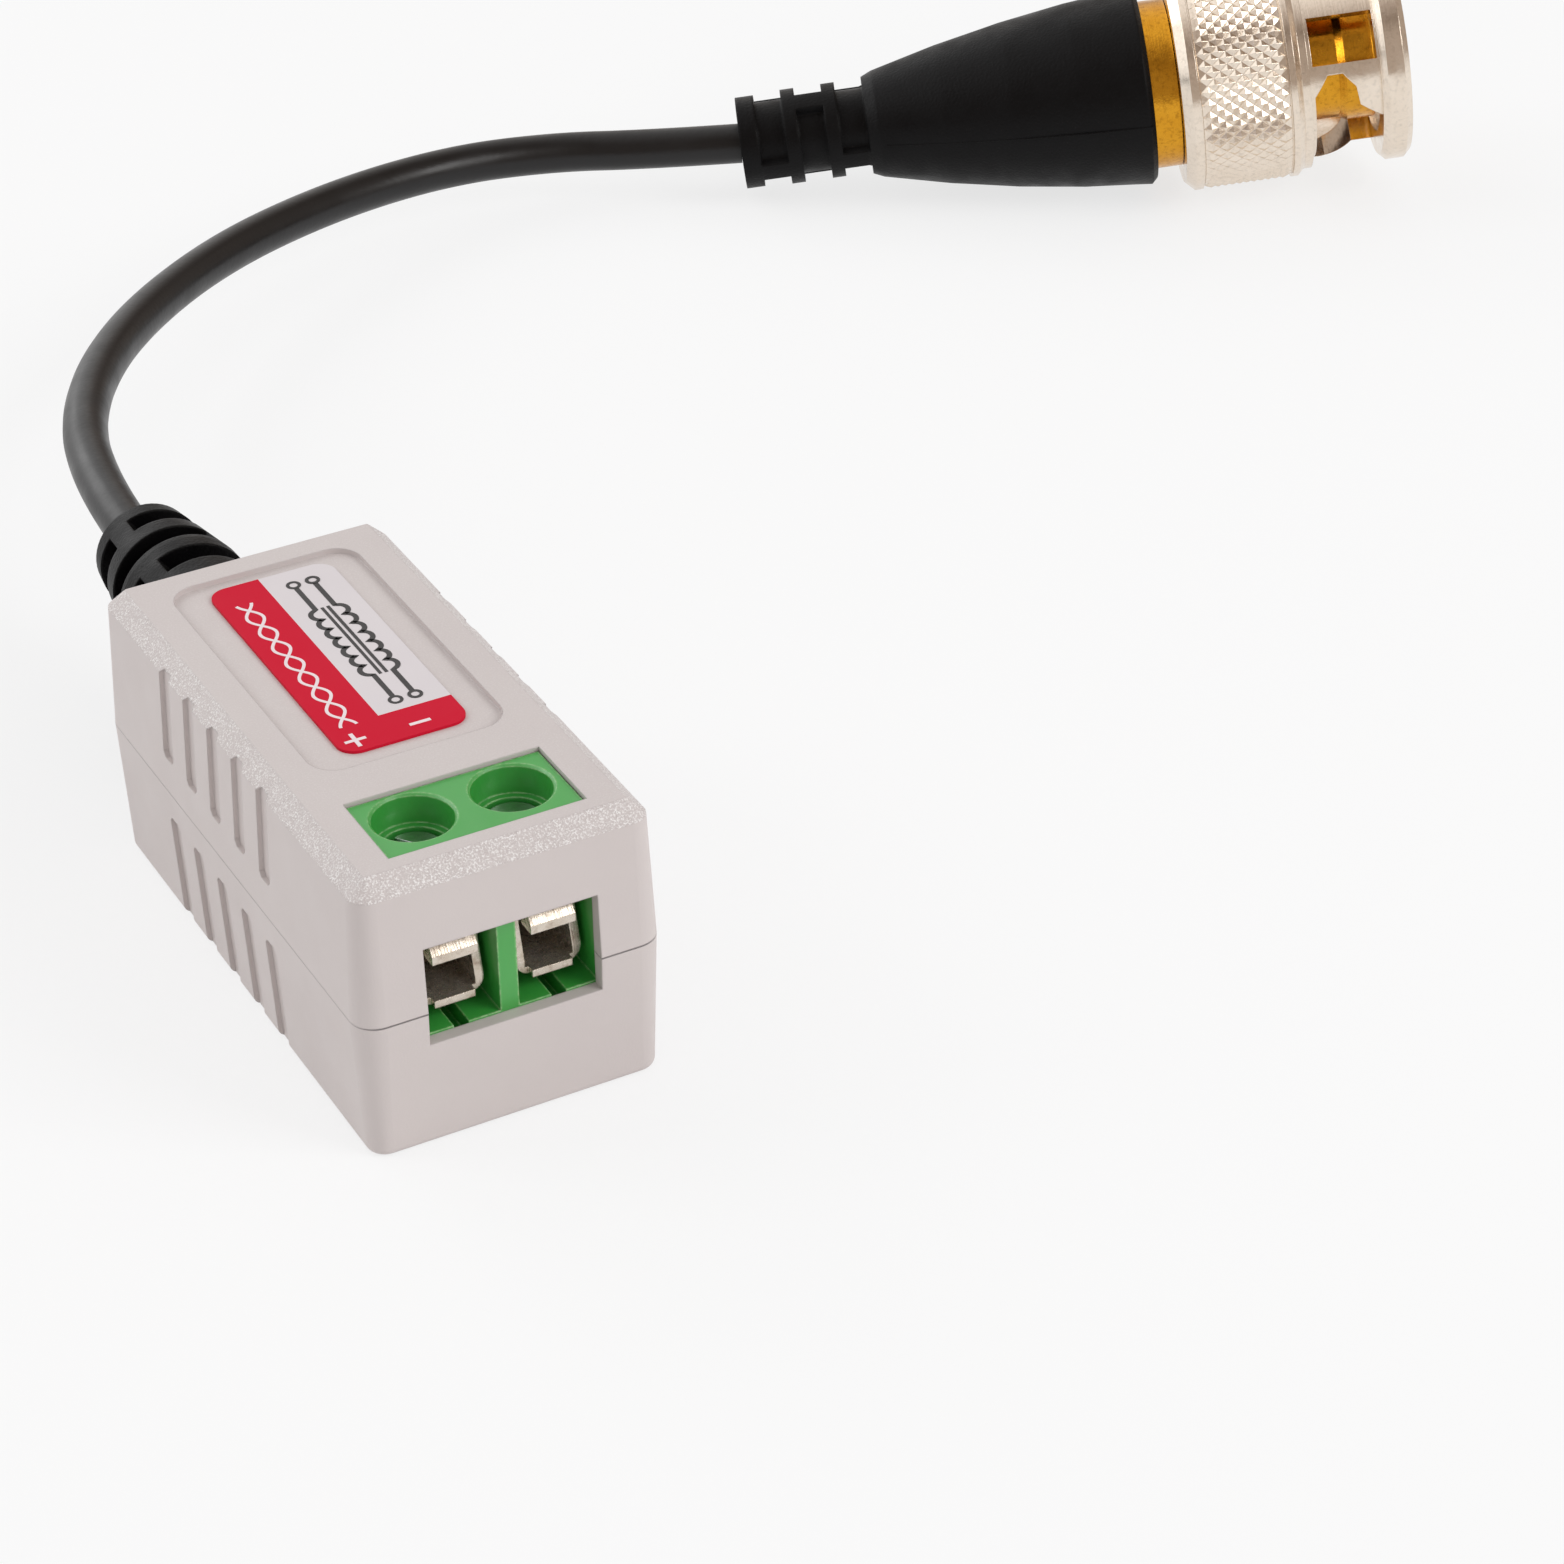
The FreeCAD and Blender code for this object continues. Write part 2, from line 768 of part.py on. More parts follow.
def make_terminal_housing():
    """Green terminal block: one moulding with two chambers, screw wells and a divider."""
    body = new_body("terminal_housing")
    profile = [
        (0, 0),
        (D.block_length, 0),
        (D.block_length, D.chamber_roof),
        (D.block_length + D.chamber_roof - D.block_shoulder, D.block_shoulder),
        (D.neck_rear, D.block_shoulder),
        (D.neck_rear, block_top),
        (D.neck_front, block_top),
        (D.neck_front, D.block_shoulder),
        (0, D.block_brow),
    ]
    pad(body, outline(body, "YZ_Plane", profile), D.block_width, middle=True)
    chamber_half = D.chamber_width / 2
    slot_half = D.floor_slot_width / 2
    pin_half = D.pin_width / 2 + D.fit_gap / 2
    for centre in pole_places.values():
        left = centre - chamber_half
        right = centre + chamber_half
        chamber = outline(
            body, "XY_Plane", box_points(left, right, D.chamber_front, leg_rear), D.chamber_roof,
        )
        pocket(body, chamber, D.chamber_roof - D.chamber_floor)
        mouth = outline(body, "XZ_Plane", box_points(left, right, D.chamber_floor, D.mouth_top))
        pocket(body, mouth, D.chamber_front)
        well = new_sketch(body, "XY_Plane", block_top)
        add_circle(well, centre, D.screw_place, D.well_radius)
        pocket(body, well, (block_top - D.chamber_roof) * (1 - THROAT_SHARE))
        throat = new_sketch(body, "XY_Plane", block_top)
        add_circle(throat, centre, D.screw_place, D.throat_radius)
        pocket(body, throat, block_top - D.chamber_roof)
        slot = outline(
            body, "XY_Plane",
            box_points(centre - slot_half, centre + slot_half, 0, D.floor_slot_length),
            D.chamber_floor,
        )
        pocket(body, slot, D.floor_slot_depth)
        pin_hole = outline(
            body, "XY_Plane",
            box_points(centre - pin_half, centre + pin_half, leg_rear - D.strip - D.fit_gap, leg_rear),
            D.chamber_floor,
        )
        pocket(body, pin_hole, D.chamber_floor)
    rim = float(D.well_radius)
    dress(
        body, "Chamfer",
        lambda edge: on_level(edge, block_top) and edge.Curve.TypeId == "Part::GeomCircle"
        and abs(edge.Curve.Radius - rim) < 1e-6,
        D.well_bevel,
    )
    place_on_board(body)


def make_contact(name, centre):
    """Tinned strip: folded-back tip, clamping bar, rear leg and solder pin."""
    body = new_body(f"terminal_contact_{name}")
    under = D.contact_underside
    front = D.contact_front
    run = D.contact_tip_run
    rise = D.contact_tip_rise
    profile = [
        (front, under),
        (leg_rear - D.strip, under),
        (leg_rear - D.strip, D.chamber_floor),
        (leg_rear, D.chamber_floor),
        (leg_rear, bar_top),
        (front + run, bar_top),
        (front + run * 1.6, under + rise * 0.77),
        (front + run, under + rise),
        (front, bar_top),
    ]
    pad(body, outline(body, "YZ_Plane", profile), D.contact_width, middle=True)
    pin_end = -D.board_thickness - D.pin_below_board
    pin = box_points(-D.pin_width / 2, D.pin_width / 2, leg_rear - D.strip, leg_rear)
    pad(body, outline(body, "XY_Plane", pin, pin_end), D.chamber_floor - pin_end)
    dress(
        body, "Fillet",
        lambda edge: edge.BoundBox.XLength > float(D.pin_width) * 1.5
        and abs(edge.BoundBox.YMin - float(leg_rear)) < 1e-4
        and on_level(edge, bar_top),
        D.strip * 0.6,
    )
    place_on_board(body, centre)


def make_cage(name, centre):
    """Clamp cage bent from strip: floor with a front lip, two walls, threaded roof."""
    body = new_body(f"clamp_cage_{name}")
    half = D.cage_width / 2
    inner = half - D.strip
    bottom = D.cage_floor_top - D.cage_floor
    roof_under = bar_top + D.running_gap
    top = roof_under + D.cage_roof
    frame = new_sketch(body, "XZ_Plane", -D.cage_toe)
    add_outline(frame, box_points(-half, half, bottom, top))
    add_outline(frame, box_points(-inner, inner, D.cage_floor_top, roof_under))
    pad(body, frame, D.cage_length, reverse=True)
    dress(
        body, "Fillet",
        lambda edge: edge.BoundBox.YLength > 1 and on_level(edge, bottom),
        D.cage_round,
    )
    dress(
        body, "Fillet",
        lambda edge: edge.BoundBox.YLength > 1 and on_level(edge, top),
        D.cage_round / 2,
    )
    slope_foot = bottom + D.cage_round
    slope = [
        (0, slope_foot),
        (D.cage_toe, slope_foot),
        (D.cage_toe + D.cage_slope, D.cage_slope_top),
        (D.cage_toe + D.cage_slope, top),
        (0, top),
    ]
    pocket(body, outline(body, "YZ_Plane", slope), D.cage_width, middle=True)
    lip_half = D.cage_lip_width / 2
    lip = box_points(-lip_half, lip_half, D.cage_toe - D.cage_lip, D.cage_toe + D.cage_slope)
    pad(body, outline(body, "XY_Plane", lip, bottom), D.cage_floor)
    thread = new_sketch(body, "XY_Plane", top)
    add_circle(thread, 0, D.screw_place, D.screw_radius + D.running_gap)
    pocket(body, thread, D.cage_roof)
    place_on_board(body, centre)


def make_screw(name, centre):
    """Slotted clamp screw that stands on the contact strip and lifts the cage."""
    body = new_body(f"clamp_screw_{name}")
    bevel = D.screw_bevel
    head_under = D.screw_length - D.screw_head
    revolve(body, [
        (0, 0),
        (D.screw_radius - bevel * 2, 0),
        (D.screw_radius, bevel * 2),
        (D.screw_radius, head_under),
        (D.screw_head_radius, head_under),
        (D.screw_head_radius, D.screw_length - bevel),
        (D.screw_head_radius - bevel, D.screw_length),
        (0, D.screw_length),
    ])
    half = D.screw_slot_width / 2
    reach = D.screw_head_radius
    slot = outline(body, "XY_Plane", box_points(-half, half, -reach, reach), D.screw_length)
    pocket(body, slot, D.screw_slot_depth)
    turn = 35.0 if name == "left" else 62.0
    body.Placement = Placement(Vector(), Rotation(Vector(0, 0, 1), turn))
    bind(body, ".Placement.Base.x", centre)
    bind(body, ".Placement.Base.y", D.screw_place - cavity_front)
    bind(body, ".Placement.Base.z", board_top + bar_top + D.running_gap / 2)


def wire_landings():
    """Places on the board where the cable's two conductors are soldered."""
    return [(-D.wire_landing, D.core_wire_radius), (D.wire_landing, D.braid_radius)]


def make_circuit_board():
    """Board with a narrow nose between the front posts and its plated holes."""
    body = new_body("circuit_board")
    wide = board_half
    nose = front_post_inner - D.board_gap
    front = D.board_gap - cavity_front
    shoulder = D.front_post_setback + D.post_length + front
    points = [
        (-nose, front), (nose, front), (nose, shoulder), (wide, shoulder),
        (wide, board_rear), (-wide, board_rear), (-wide, shoulder), (-nose, shoulder),
    ]
    pad(body, outline(body, "XY_Plane", points), D.board_thickness)
    pin_place = leg_rear - D.strip / 2 - cavity_front
    holes = [(centre, pin_place, D.pin_width * 0.62) for centre in pole_places.values()]
    holes += [(x, landing_place, radius + D.wire_hole_gap) for x, radius in wire_landings()]
    for x, y, radius in holes:
        hole = new_sketch(body, "XY_Plane", D.board_thickness)
        add_circle(hole, x, y, radius)
        pocket(body, hole, D.board_thickness)
    bind(body, ".Placement.Base.z", D.board_bottom)


def make_ferrite_core():
    """Ferrite ring of the transformer, standing clear of the board on its windings."""
    body = new_body("ferrite_core")
    revolve(body, box_points(D.core_inner, D.core_outer, D.wire_build, D.wire_build + D.core_height))
    dress(body, "Chamfer", lambda edge: edge.Curve.TypeId == "Part::GeomCircle", D.core_bevel)
    bind(body, ".Placement.Base.y", core_place)
    bind(body, ".Placement.Base.z", board_top)


def make_winding(name, turn):
    """Half of the windings: loops around the ring that touch at its bore."""
    body = new_body(f"winding_{name}")
    build = D.wire_build
    inner = D.core_inner - D.running_gap
    outer = D.core_outer + D.running_gap
    loop = new_sketch(body, "XZ_Plane")
    add_outline(loop, box_points(inner - build, outer + build, 0, D.core_height + build * 2))
    add_outline(loop, box_points(inner, outer, build, D.core_height + build))
    first = pad(body, loop, D.turn_width, middle=True)
    repeat(
        body, first, "PolarPattern",
        Axis=(plane(body, "Z_Axis"), [""]),
        Angle=TURN_STEP * (TURNS_PER_WINDING - 1),
        Occurrences=TURNS_PER_WINDING,
    )
    body.Placement = Placement(Vector(), Rotation(Vector(0, 0, 1), turn))
    bind(body, ".Placement.Base.y", core_place)
    bind(body, ".Placement.Base.z", board_top)


def make_surge_diode():
    """Moulded surge diode with folded leads, lying across the board."""
    width = D.diode_width
    lead = D.diode_lead
    body_box = primitive(
        "Box",
        {"Length": D.diode_length, "Width": width, "Height": D.diode_height - lead / 3},
        (-D.diode_offset - D.diode_length / 2, diode_place - width / 2, board_top + lead / 3),
    )
    solids = [body_box]
    for side in (-1, 1):
        start = -D.diode_offset + D.diode_length / 2 * side - lead / 2
        solids.append(primitive(
            "Box",
            {"Length": lead, "Width": D.diode_lead_width, "Height": D.diode_height / 2},
            (start, diode_place - D.diode_lead_width / 2, board_top),
        ))
    keep(fuse(solids), "surge_diode")


def make_chip_capacitor():
    """Small chip capacitor with proud end caps."""
    lap = D.capacitor_lap
    length = D.capacitor_length
    width = D.capacitor_width
    left = D.capacitor_offset - length / 2
    middle = primitive(
        "Box",
        {"Length": length - D.capacitor_band, "Width": width - lap * 2, "Height": D.capacitor_height - lap * 2},
        (left + D.capacitor_band / 2, diode_place - width / 2 + lap, board_top + lap),
    )
    caps = [
        primitive(
            "Box",
            {"Length": D.capacitor_band, "Width": width, "Height": D.capacitor_height},
            (start, diode_place - width / 2, board_top),
        )
        for start in (left, left + length - D.capacitor_band)
    ]
    keep(fuse([middle] + caps), "chip_capacitor")


def smooth_path(points):
    """Join straight runs by tangent arcs and return the wire with its radii."""
    edges = []
    radii = []
    start = points[0]
    for before, corner, after in zip(points, points[1:], points[2:]):
        towards = (corner - before).normalize()
        away = (after - corner).normalize()
        shorter = min(corner.distanceToPoint(before), after.distanceToPoint(corner))
        half_turn = towards.getAngle(away) / 2
        setback = 0.45 * shorter
        radius = setback / math.tan(half_turn)
        arc_start = corner - towards * setback
        arc_end = corner + away * setback
        inward = (away - towards).normalize()
        arc_middle = corner + inward * (radius / math.cos(half_turn) - radius)
        edges.append(Part.LineSegment(start, arc_start).toShape())
        edges.append(Part.Arc(arc_start, arc_middle, arc_end).toShape())
        radii.append(radius)
        start = arc_end
    edges.append(Part.LineSegment(start, points[-1]).toShape())
    return Part.Wire(edges), radii


def make_tube(label, points, radius):
    """Solid round tube along a smoothed route."""
    path, radii = smooth_path(points)
    first_way = (points[1] - points[0]).normalize()
    ring = Part.Wire(Part.Circle(points[0], first_way, float(radius)).toShape())
    tube = doc.addObject("Part::Feature", label)
    tube.Shape = path.makePipeShell([ring], True, False)
    keep(tube, label)
    section = math.pi * float(radius) ** 2
    shares = ", ".join(f"{value:.1f}" for value in radii)
    print(f"{label}: length {path.Length:.2f}, volume {tube.Shape.Volume:.2f}, "
          f"section x length {section * path.Length:.2f}, radii {shares}")


def make_lead_ends():
    """Centre wire and braid tail from the strain relief down to the board."""
    relief_start = float(cavity_rear - D.fit_gap - D.relief_flange)
    axis_height = float(D.parting_height)
    landing_y = float(landing_place)
    names = ("cable_centre_wire", "cable_braid_tail")
    for name, (landing, radius) in zip(names, wire_landings()):
        side = -1 if float(landing) < 0 else 1
        spread = side * float(D.wire_spread)
        points = [
            Vector(spread, relief_start, axis_height),
            Vector(spread, relief_start - 1.4, axis_height),
            Vector(float(landing), landing_y, axis_height - 2.0),
            Vector(float(landing), landing_y, float(D.wire_end)),
        ]
        make_tube(name, points, radius)


def slotted_sleeve(base, core_radius, starts, width, web, reach):
    """Cut ring slots into a solid along Z, leaving two webs that alternate by a quarter turn."""
    cutters = []
    for index, start in enumerate(starts):
        ring = primitive("Cylinder", {"Radius": reach, "Height": width}, (0, 0, start))
        core = primitive("Cylinder", {"Radius": core_radius, "Height": width}, (0, 0, start))
        flip = index % 2 == 1
        size_x, size_y = (web, reach * 2) if flip else (reach * 2, web)
        bar = primitive(
            "Box", {"Length": size_x, "Width": size_y, "Height": width},
            (-size_x / 2, -size_y / 2, start),
        )
        cutters.append(cut(ring, fuse([core, bar])))
    return cut(base, fuse(cutters))


def make_case_strain_relief():
    """Ribbed strain relief, held by its flange in the case's rear wall."""
    flange = D.relief_flange
    neck = D.side_wall + D.fit_gap * 2
    collar = D.relief_collar
    taper_start = flange + neck + collar
    tip_length = D.relief_length - collar - D.fit_gap - D.relief_waist - D.relief_nose
    solids = [
        primitive("Cylinder", {"Radius": D.relief_flange_radius, "Height": flange}, (0, 0, 0)),
        primitive("Cylinder", {"Radius": D.relief_neck_radius, "Height": neck}, (0, 0, flange)),
        primitive("Cylinder", {"Radius": D.relief_collar_radius, "Height": collar}, (0, 0, flange + neck)),
        primitive(
            "Cone",
            {"Radius1": D.relief_collar_radius, "Radius2": D.relief_waist_radius, "Height": D.relief_waist},
            (0, 0, taper_start),
        ),
        primitive(
            "Cone",
            {"Radius1": D.relief_waist_radius, "Radius2": D.relief_tip_radius, "Height": tip_length},
            (0, 0, taper_start + D.relief_waist),
        ),
        primitive(
            "Cone",
            {"Radius1": D.relief_tip_radius, "Radius2": D.relief_nose_radius, "Height": D.relief_nose},
            (0, 0, taper_start + D.relief_waist + tip_length),
        ),
    ]
    pitch = D.relief_ring + D.relief_slot
    ribbed = D.relief_length - collar - D.fit_gap - D.relief_end
    count = round(float(ribbed + D.relief_ring) / float(pitch))
    starts = [taper_start + pitch * index for index in range(count)]
    relief = slotted_sleeve(
        fuse(solids), D.relief_core_radius, starts, D.relief_slot, D.relief_web,
        D.relief_collar_radius + 1,
    )
    keep(relief, "case_strain_relief")
    backwards = Rotation(Vector(1, 0, 0), -90)
    roll = Rotation(Vector(0, 0, 1), 53)
    relief.Placement = Placement(Vector(), backwards.multiply(roll))
    bind(relief, ".Placement.Base.y", cavity_rear - D.fit_gap - flange)
    bind(relief, ".Placement.Base.z", D.parting_height)


def plug_placement(roll=0.0):
    """Placement of a plug piece whose Z axis points out of the plug's front."""
    facing = Rotation(Vector(), Vector(0, 0, 1), PLUG_WAY, "ZYX")
    return Placement(PLUG_POINT, facing.multiply(Rotation(Vector(0, 0, 1), roll)))


def bell_outline():
    """Radii and places along the boot's bell, which swells a little between its ends."""
    length = D.boot_end - D.boot_edge - D.boot_body_start
    rise = D.boot_end_radius - D.boot_body_radius
    points = []
    for step in range(BELL_STEPS + 1):
        share = step / BELL_STEPS
        swell = D.boot_swell * (1 - (2 * share - 1) ** 2)
        points.append((D.boot_body_radius + rise * share + swell, D.boot_body_start + length * share))
    return points


def make_plug_boot():
    """Moulded boot: ribbed cable end and a bell that swells towards the plug."""
    body = doc.addObject("PartDesign::Body", "BootBell")
    revolve(body, [
        (0, 0),
        (D.boot_flange_radius, 0),
        (D.boot_flange_radius, D.boot_flange),
        (D.boot_ring_radius, D.boot_flange),
        (D.boot_ring_radius, D.boot_body_start - D.boot_ring),
        *bell_outline(),
        (D.boot_end_radius - D.boot_edge, D.boot_end),
        (D.neck_radius, D.boot_end),
        (D.neck_radius, D.neck_start),
        (0, D.neck_start),
    ])
    slot = D.boot_ring_pitch - D.boot_ring
    slots = [D.boot_flange + D.boot_ring_pitch * index for index in range(BOOT_SLOTS)]
    boot = slotted_sleeve(
        body, D.boot_core_radius, slots, slot, D.boot_web, D.boot_end_radius,
    )
    keep(boot, "plug_boot")
    boot.Placement = plug_placement(20)


# Places along the plug's axis that the spring pack's pieces share
nut_flange_end = D.nut_start + D.nut_flange
ring_end = D.journal_end - D.ring_thickness
ring_start = ring_end - D.ring_thickness
washer_start = ring_start - D.running_gap - D.washer_thickness
spring_start = nut_flange_end + D.running_gap
spring_end = washer_start - D.running_gap


def make_plug_body():
    """Gold body: neck, journal with a ring groove, and the outer contact sleeve."""
    body = new_body("plug_body")
    groove = D.journal_radius - D.ring_groove
    lip_start = D.sleeve_end - D.sleeve_lip
    revolve(body, [
        (0, D.neck_start + D.fit_gap),
        (D.neck_radius - D.fit_gap / 2, D.neck_start + D.fit_gap),
        (D.neck_radius - D.fit_gap / 2, D.neck_end),
        (D.journal_radius, D.neck_end),
        (D.journal_radius, ring_start),
        (groove, ring_start),
        (groove, ring_end),
        (D.journal_radius, ring_end),
        (D.journal_radius, D.journal_end),
        (D.sleeve_radius, D.journal_end),
        (D.sleeve_radius, lip_start),
        (D.sleeve_lip_radius, lip_start + D.mouth_bevel * 2),
        (D.sleeve_lip_radius, D.sleeve_end - D.mouth_bevel),
        (D.sleeve_lip_radius - D.mouth_bevel, D.sleeve_end),
        (D.sleeve_bore + D.mouth_bevel, D.sleeve_end),
        (D.sleeve_bore, D.sleeve_end - D.mouth_bevel),
        (D.sleeve_bore, D.sleeve_bore_start),
        (0, D.sleeve_bore_start),
    ])
    body.Placement = plug_placement()


def make_plug_insulator():
    """Insulator that centres the pin in the sleeve."""
    body = new_body("plug_insulator")
    radius = D.sleeve_bore - D.fit_gap / 2
    hole = D.pin_radius + D.fit_gap / 2
    revolve(body, box_points(hole, radius, D.sleeve_bore_start, D.insulator_end))
    body.Placement = plug_placement()


def make_centre_pin():
    """Centre contact with a conical tip."""
    body = new_body("centre_pin")
    revolve(body, [
        (0, D.sleeve_bore_start),
        (D.pin_radius, D.sleeve_bore_start),
        (D.pin_radius, D.pin_tip - D.pin_cone),
        (D.pin_radius / 6, D.pin_tip),
        (0, D.pin_tip),
    ])
    body.Placement = plug_placement()


def nut_spot(radius, turn, along):
    """Point round the nut's axis, with its turn counted in diamonds of the knurl."""
    angle = 2 * math.pi * turn / DIAMONDS_ROUND
    return Vector(radius * math.cos(angle), radius * math.sin(angle), along)


def flat_face(corners, way):
    """Flat face between corners that looks along a direction."""
    face = Part.Face(Part.makePolygon(corners + corners[:1]))
    return face if face.normalAt(0, 0).dot(way) > 0 else face.reversed()


def knurled_ring(start, end):
    """Ring of staggered four-sided points on a plain bore."""
    crest = float(D.rim_radius - D.knurl_below_rim)
    valley = crest - float(D.knurl_depth)
    bore = valley - float(D.knurl_foot)
    half = (end - start) / (2 * DIAMOND_ROWS)
    faces = []
    for row in range(2 * DIAMOND_ROWS + 1):
        along = start + row * half
        for place in range(DIAMONDS_ROUND):
            middle = place + 0.5 + 0.5 * (row % 2)
            out = nut_spot(1, middle, 0)
            left = nut_spot(valley, middle - 0.5, along)
            right = nut_spot(valley, middle + 0.5, along)
            above = nut_spot(valley, middle, along + half)
            below = nut_spot(valley, middle, along - half)
            point = nut_spot(crest, middle, along)
            if row == 0:
                faces.append(flat_face([left, right, above], out))
            elif row == 2 * DIAMOND_ROWS:
                faces.append(flat_face([left, right, below], out))
            else:
                for one, two in ((left, above), (above, right), (right, below), (below, left)):
                    faces.append(flat_face([point, one, two], out))
    for place in range(DIAMONDS_ROUND):
        low, high = [
            [nut_spot(radius, turn, along) for radius, turn in (
                (valley, place), (valley, place + 1), (bore, place + 1), (bore, place),
            )]
            for along in (start, end)
        ]
        faces.append(flat_face(low, Vector(0, 0, -1)))
        faces.append(flat_face(high, Vector(0, 0, 1)))
        faces.append(flat_face([low[3], low[2], high[2], high[3]], nut_spot(-1, place + 0.5, 0)))
    return Part.makeSolid(Part.makeShell(faces))


def make_coupling_nut():
    """Bayonet coupling nut: knurled grip, barrel with cam windows, and front bead."""
    body = doc.addObject("PartDesign::Body", "NutTurned")
    edge = D.nut_edge
    bore = D.journal_radius + D.running_gap
    grip_radius = D.rim_radius - D.grip_depth
    grip_start = D.nut_start + D.rear_rim
    shoulder_start = D.grip_end + D.front_rim
    revolve(body, [
        (bore, D.nut_start),
        (D.rim_radius - D.rim_bevel, D.nut_start),
        (D.rim_radius, D.nut_start + D.rim_bevel),
        (D.rim_radius, grip_start),
        (grip_radius, grip_start),
        (grip_radius, D.grip_end),
        (D.rim_radius, D.grip_end),
        (D.rim_radius, shoulder_start),
        (D.shoulder_radius, shoulder_start + D.rim_radius - D.shoulder_radius),
        (D.shoulder_radius, D.shoulder_end),
        (D.barrel_radius, D.shoulder_end),
        (D.barrel_radius, D.bead_start),
        (D.bead_radius - edge, D.bead_start),
        (D.bead_radius, D.bead_start + edge),
        (D.bead_radius, D.nut_end - edge),
        (D.bead_radius - edge, D.nut_end),
        (D.nut_mouth, D.nut_end),
        (D.nut_bore, D.nut_end - (D.nut_mouth - D.nut_bore)),
        (D.nut_bore, D.journal_end),
        (D.nut_chamber, D.journal_end),
        (D.nut_chamber, nut_flange_end),
        (bore, nut_flange_end),
    ])
    low = D.window_start
    high = D.bead_start
    left = -D.window_left
    right = D.window_right
    window = outline(body, "XZ_Plane", [
        (right, high),
        (right, high - 1.4),
        (right - 1.8, low + 0.8),
        (right - 3.0, low),
        (left + 0.9, low),
        (left, low + 0.9),
        (left, low + 1.9),
        (left + 0.6, low + 2.7),
        (left + 1.6, low + 2.9),
        (left + 2.2, low + 3.8),
        (left + 2.5, high),
    ])
    first = pocket(body, window, D.bead_radius, reverse=True)
    repeat(body, first, "PolarPattern", Axis=(plane(body, "Z_Axis"), [""]), Angle=360.0, Occurrences=2)
    gate_half = D.gate_width / 2
    gate = outline(
        body, "XZ_Plane", box_points(-gate_half, gate_half, low, high - 0.1),
        tilt=Rotation(Vector(0, 1, 0), float(D.gate_angle)),
    )
    second = pocket(body, gate, D.bead_radius, reverse=True)
    repeat(body, second, "PolarPattern", Axis=(plane(body, "Z_Axis"), [""]), Angle=360.0, Occurrences=2)
    knurl = doc.addObject("Part::Feature", "NutKnurl")
    knurl.Shape = knurled_ring(float(grip_start + D.knurl_gap), float(D.grip_end - D.knurl_gap))
    nut = keep(fuse([body, knurl]), "coupling_nut")
    nut.Placement = plug_placement(NUT_ROLL)


def wave_edge(radius, height):
    """Closed curve around Z that rises and falls with the spring's waves."""
    swing = (float(spring_end) - float(spring_start) - float(D.spring_strip)) / 2
    steps = SPRING_WAVES * 8
    spots = []
    for index in range(steps):
        angle = 2 * math.pi * index / steps
        rise = swing * math.cos(SPRING_WAVES * angle)
        spots.append(Vector(radius * math.cos(angle), radius * math.sin(angle), height + rise))
    curve = Part.BSplineCurve()
    curve.interpolate(spots, PeriodicFlag=True)
    return curve.toShape()


def make_wave_spring():
    """Wavy spring ring between the nut's flange and the washer."""
    middle = (float(spring_start) + float(spring_end)) / 2
    half = float(D.spring_strip) / 2
    inner_low = wave_edge(float(D.spring_inner), middle - half)
    inner_high = wave_edge(float(D.spring_inner), middle + half)
    outer_low = wave_edge(float(D.spring_outer), middle - half)
    outer_high = wave_edge(float(D.spring_outer), middle + half)
    pairs = [(inner_low, outer_low), (inner_high, outer_high), (inner_low, inner_high), (outer_low, outer_high)]
    shell = Part.Shell([Part.makeRuledSurface(one, other) for one, other in pairs])
    spring = doc.addObject("Part::Feature", "wave_spring")
    spring.Shape = Part.Solid(shell)
    if spring.Shape.Volume < 0:
        spring.Shape = Part.Solid(shell.reversed())
    keep(spring, "wave_spring")
    spring.Placement = plug_placement()


def make_thrust_washer():
    """Flat washer that the spring presses against."""
    body = new_body("thrust_washer")
    inner = D.journal_radius + D.running_gap
    revolve(body, box_points(inner, D.spring_outer, washer_start, washer_start + D.washer_thickness))
    body.Placement = plug_placement()


def make_retaining_ring():
    """Open ring snapped into the journal's groove."""
    body = new_body("retaining_ring")
    inner = D.journal_radius - D.ring_groove + D.fit_gap / 2
    gap = D.fit_gap / 5
    revolve(body, box_points(inner, D.ring_radius, ring_start + gap, ring_end - gap))
    half = D.ring_opening / 2
    mouth = outline(body, "XY_Plane", box_points(-half, half, 0, D.ring_radius + 1), ring_end)
    pocket(body, mouth, D.ring_thickness)
    body.Placement = plug_placement(200)


def make_gasket():
    """Rubber ring at the foot of the contact sleeve."""
    body = new_body("gasket")
    start = D.journal_end
    revolve(body, box_points(D.sleeve_radius + D.fit_gap / 2, D.gasket_radius, start, start + D.gasket_length))
    body.Placement = plug_placement()


def check_document():
    """Stop if any feature failed, any cut missed, or any sub-part is not a valid solid."""
    for thing in doc.Objects:
        if "Invalid" in thing.State or "Error" in thing.State:
            raise RuntimeError(f"{thing.Name} did not build: {thing.State}")
        if thing.TypeId == "PartDesign::Pocket" and thing.BaseFeature is not None:
            if thing.Shape.Volume > thing.BaseFeature.Shape.Volume - 1e-4:
                raise RuntimeError(f"{thing.Name} of {thing.getParent().Label} cuts nothing")
    for piece in parts:
        shape = piece.Shape
        if shape.isNull() or not shape.isValid() or not shape.Solids:
            raise RuntimeError(f"{piece.Label} is not a valid solid")


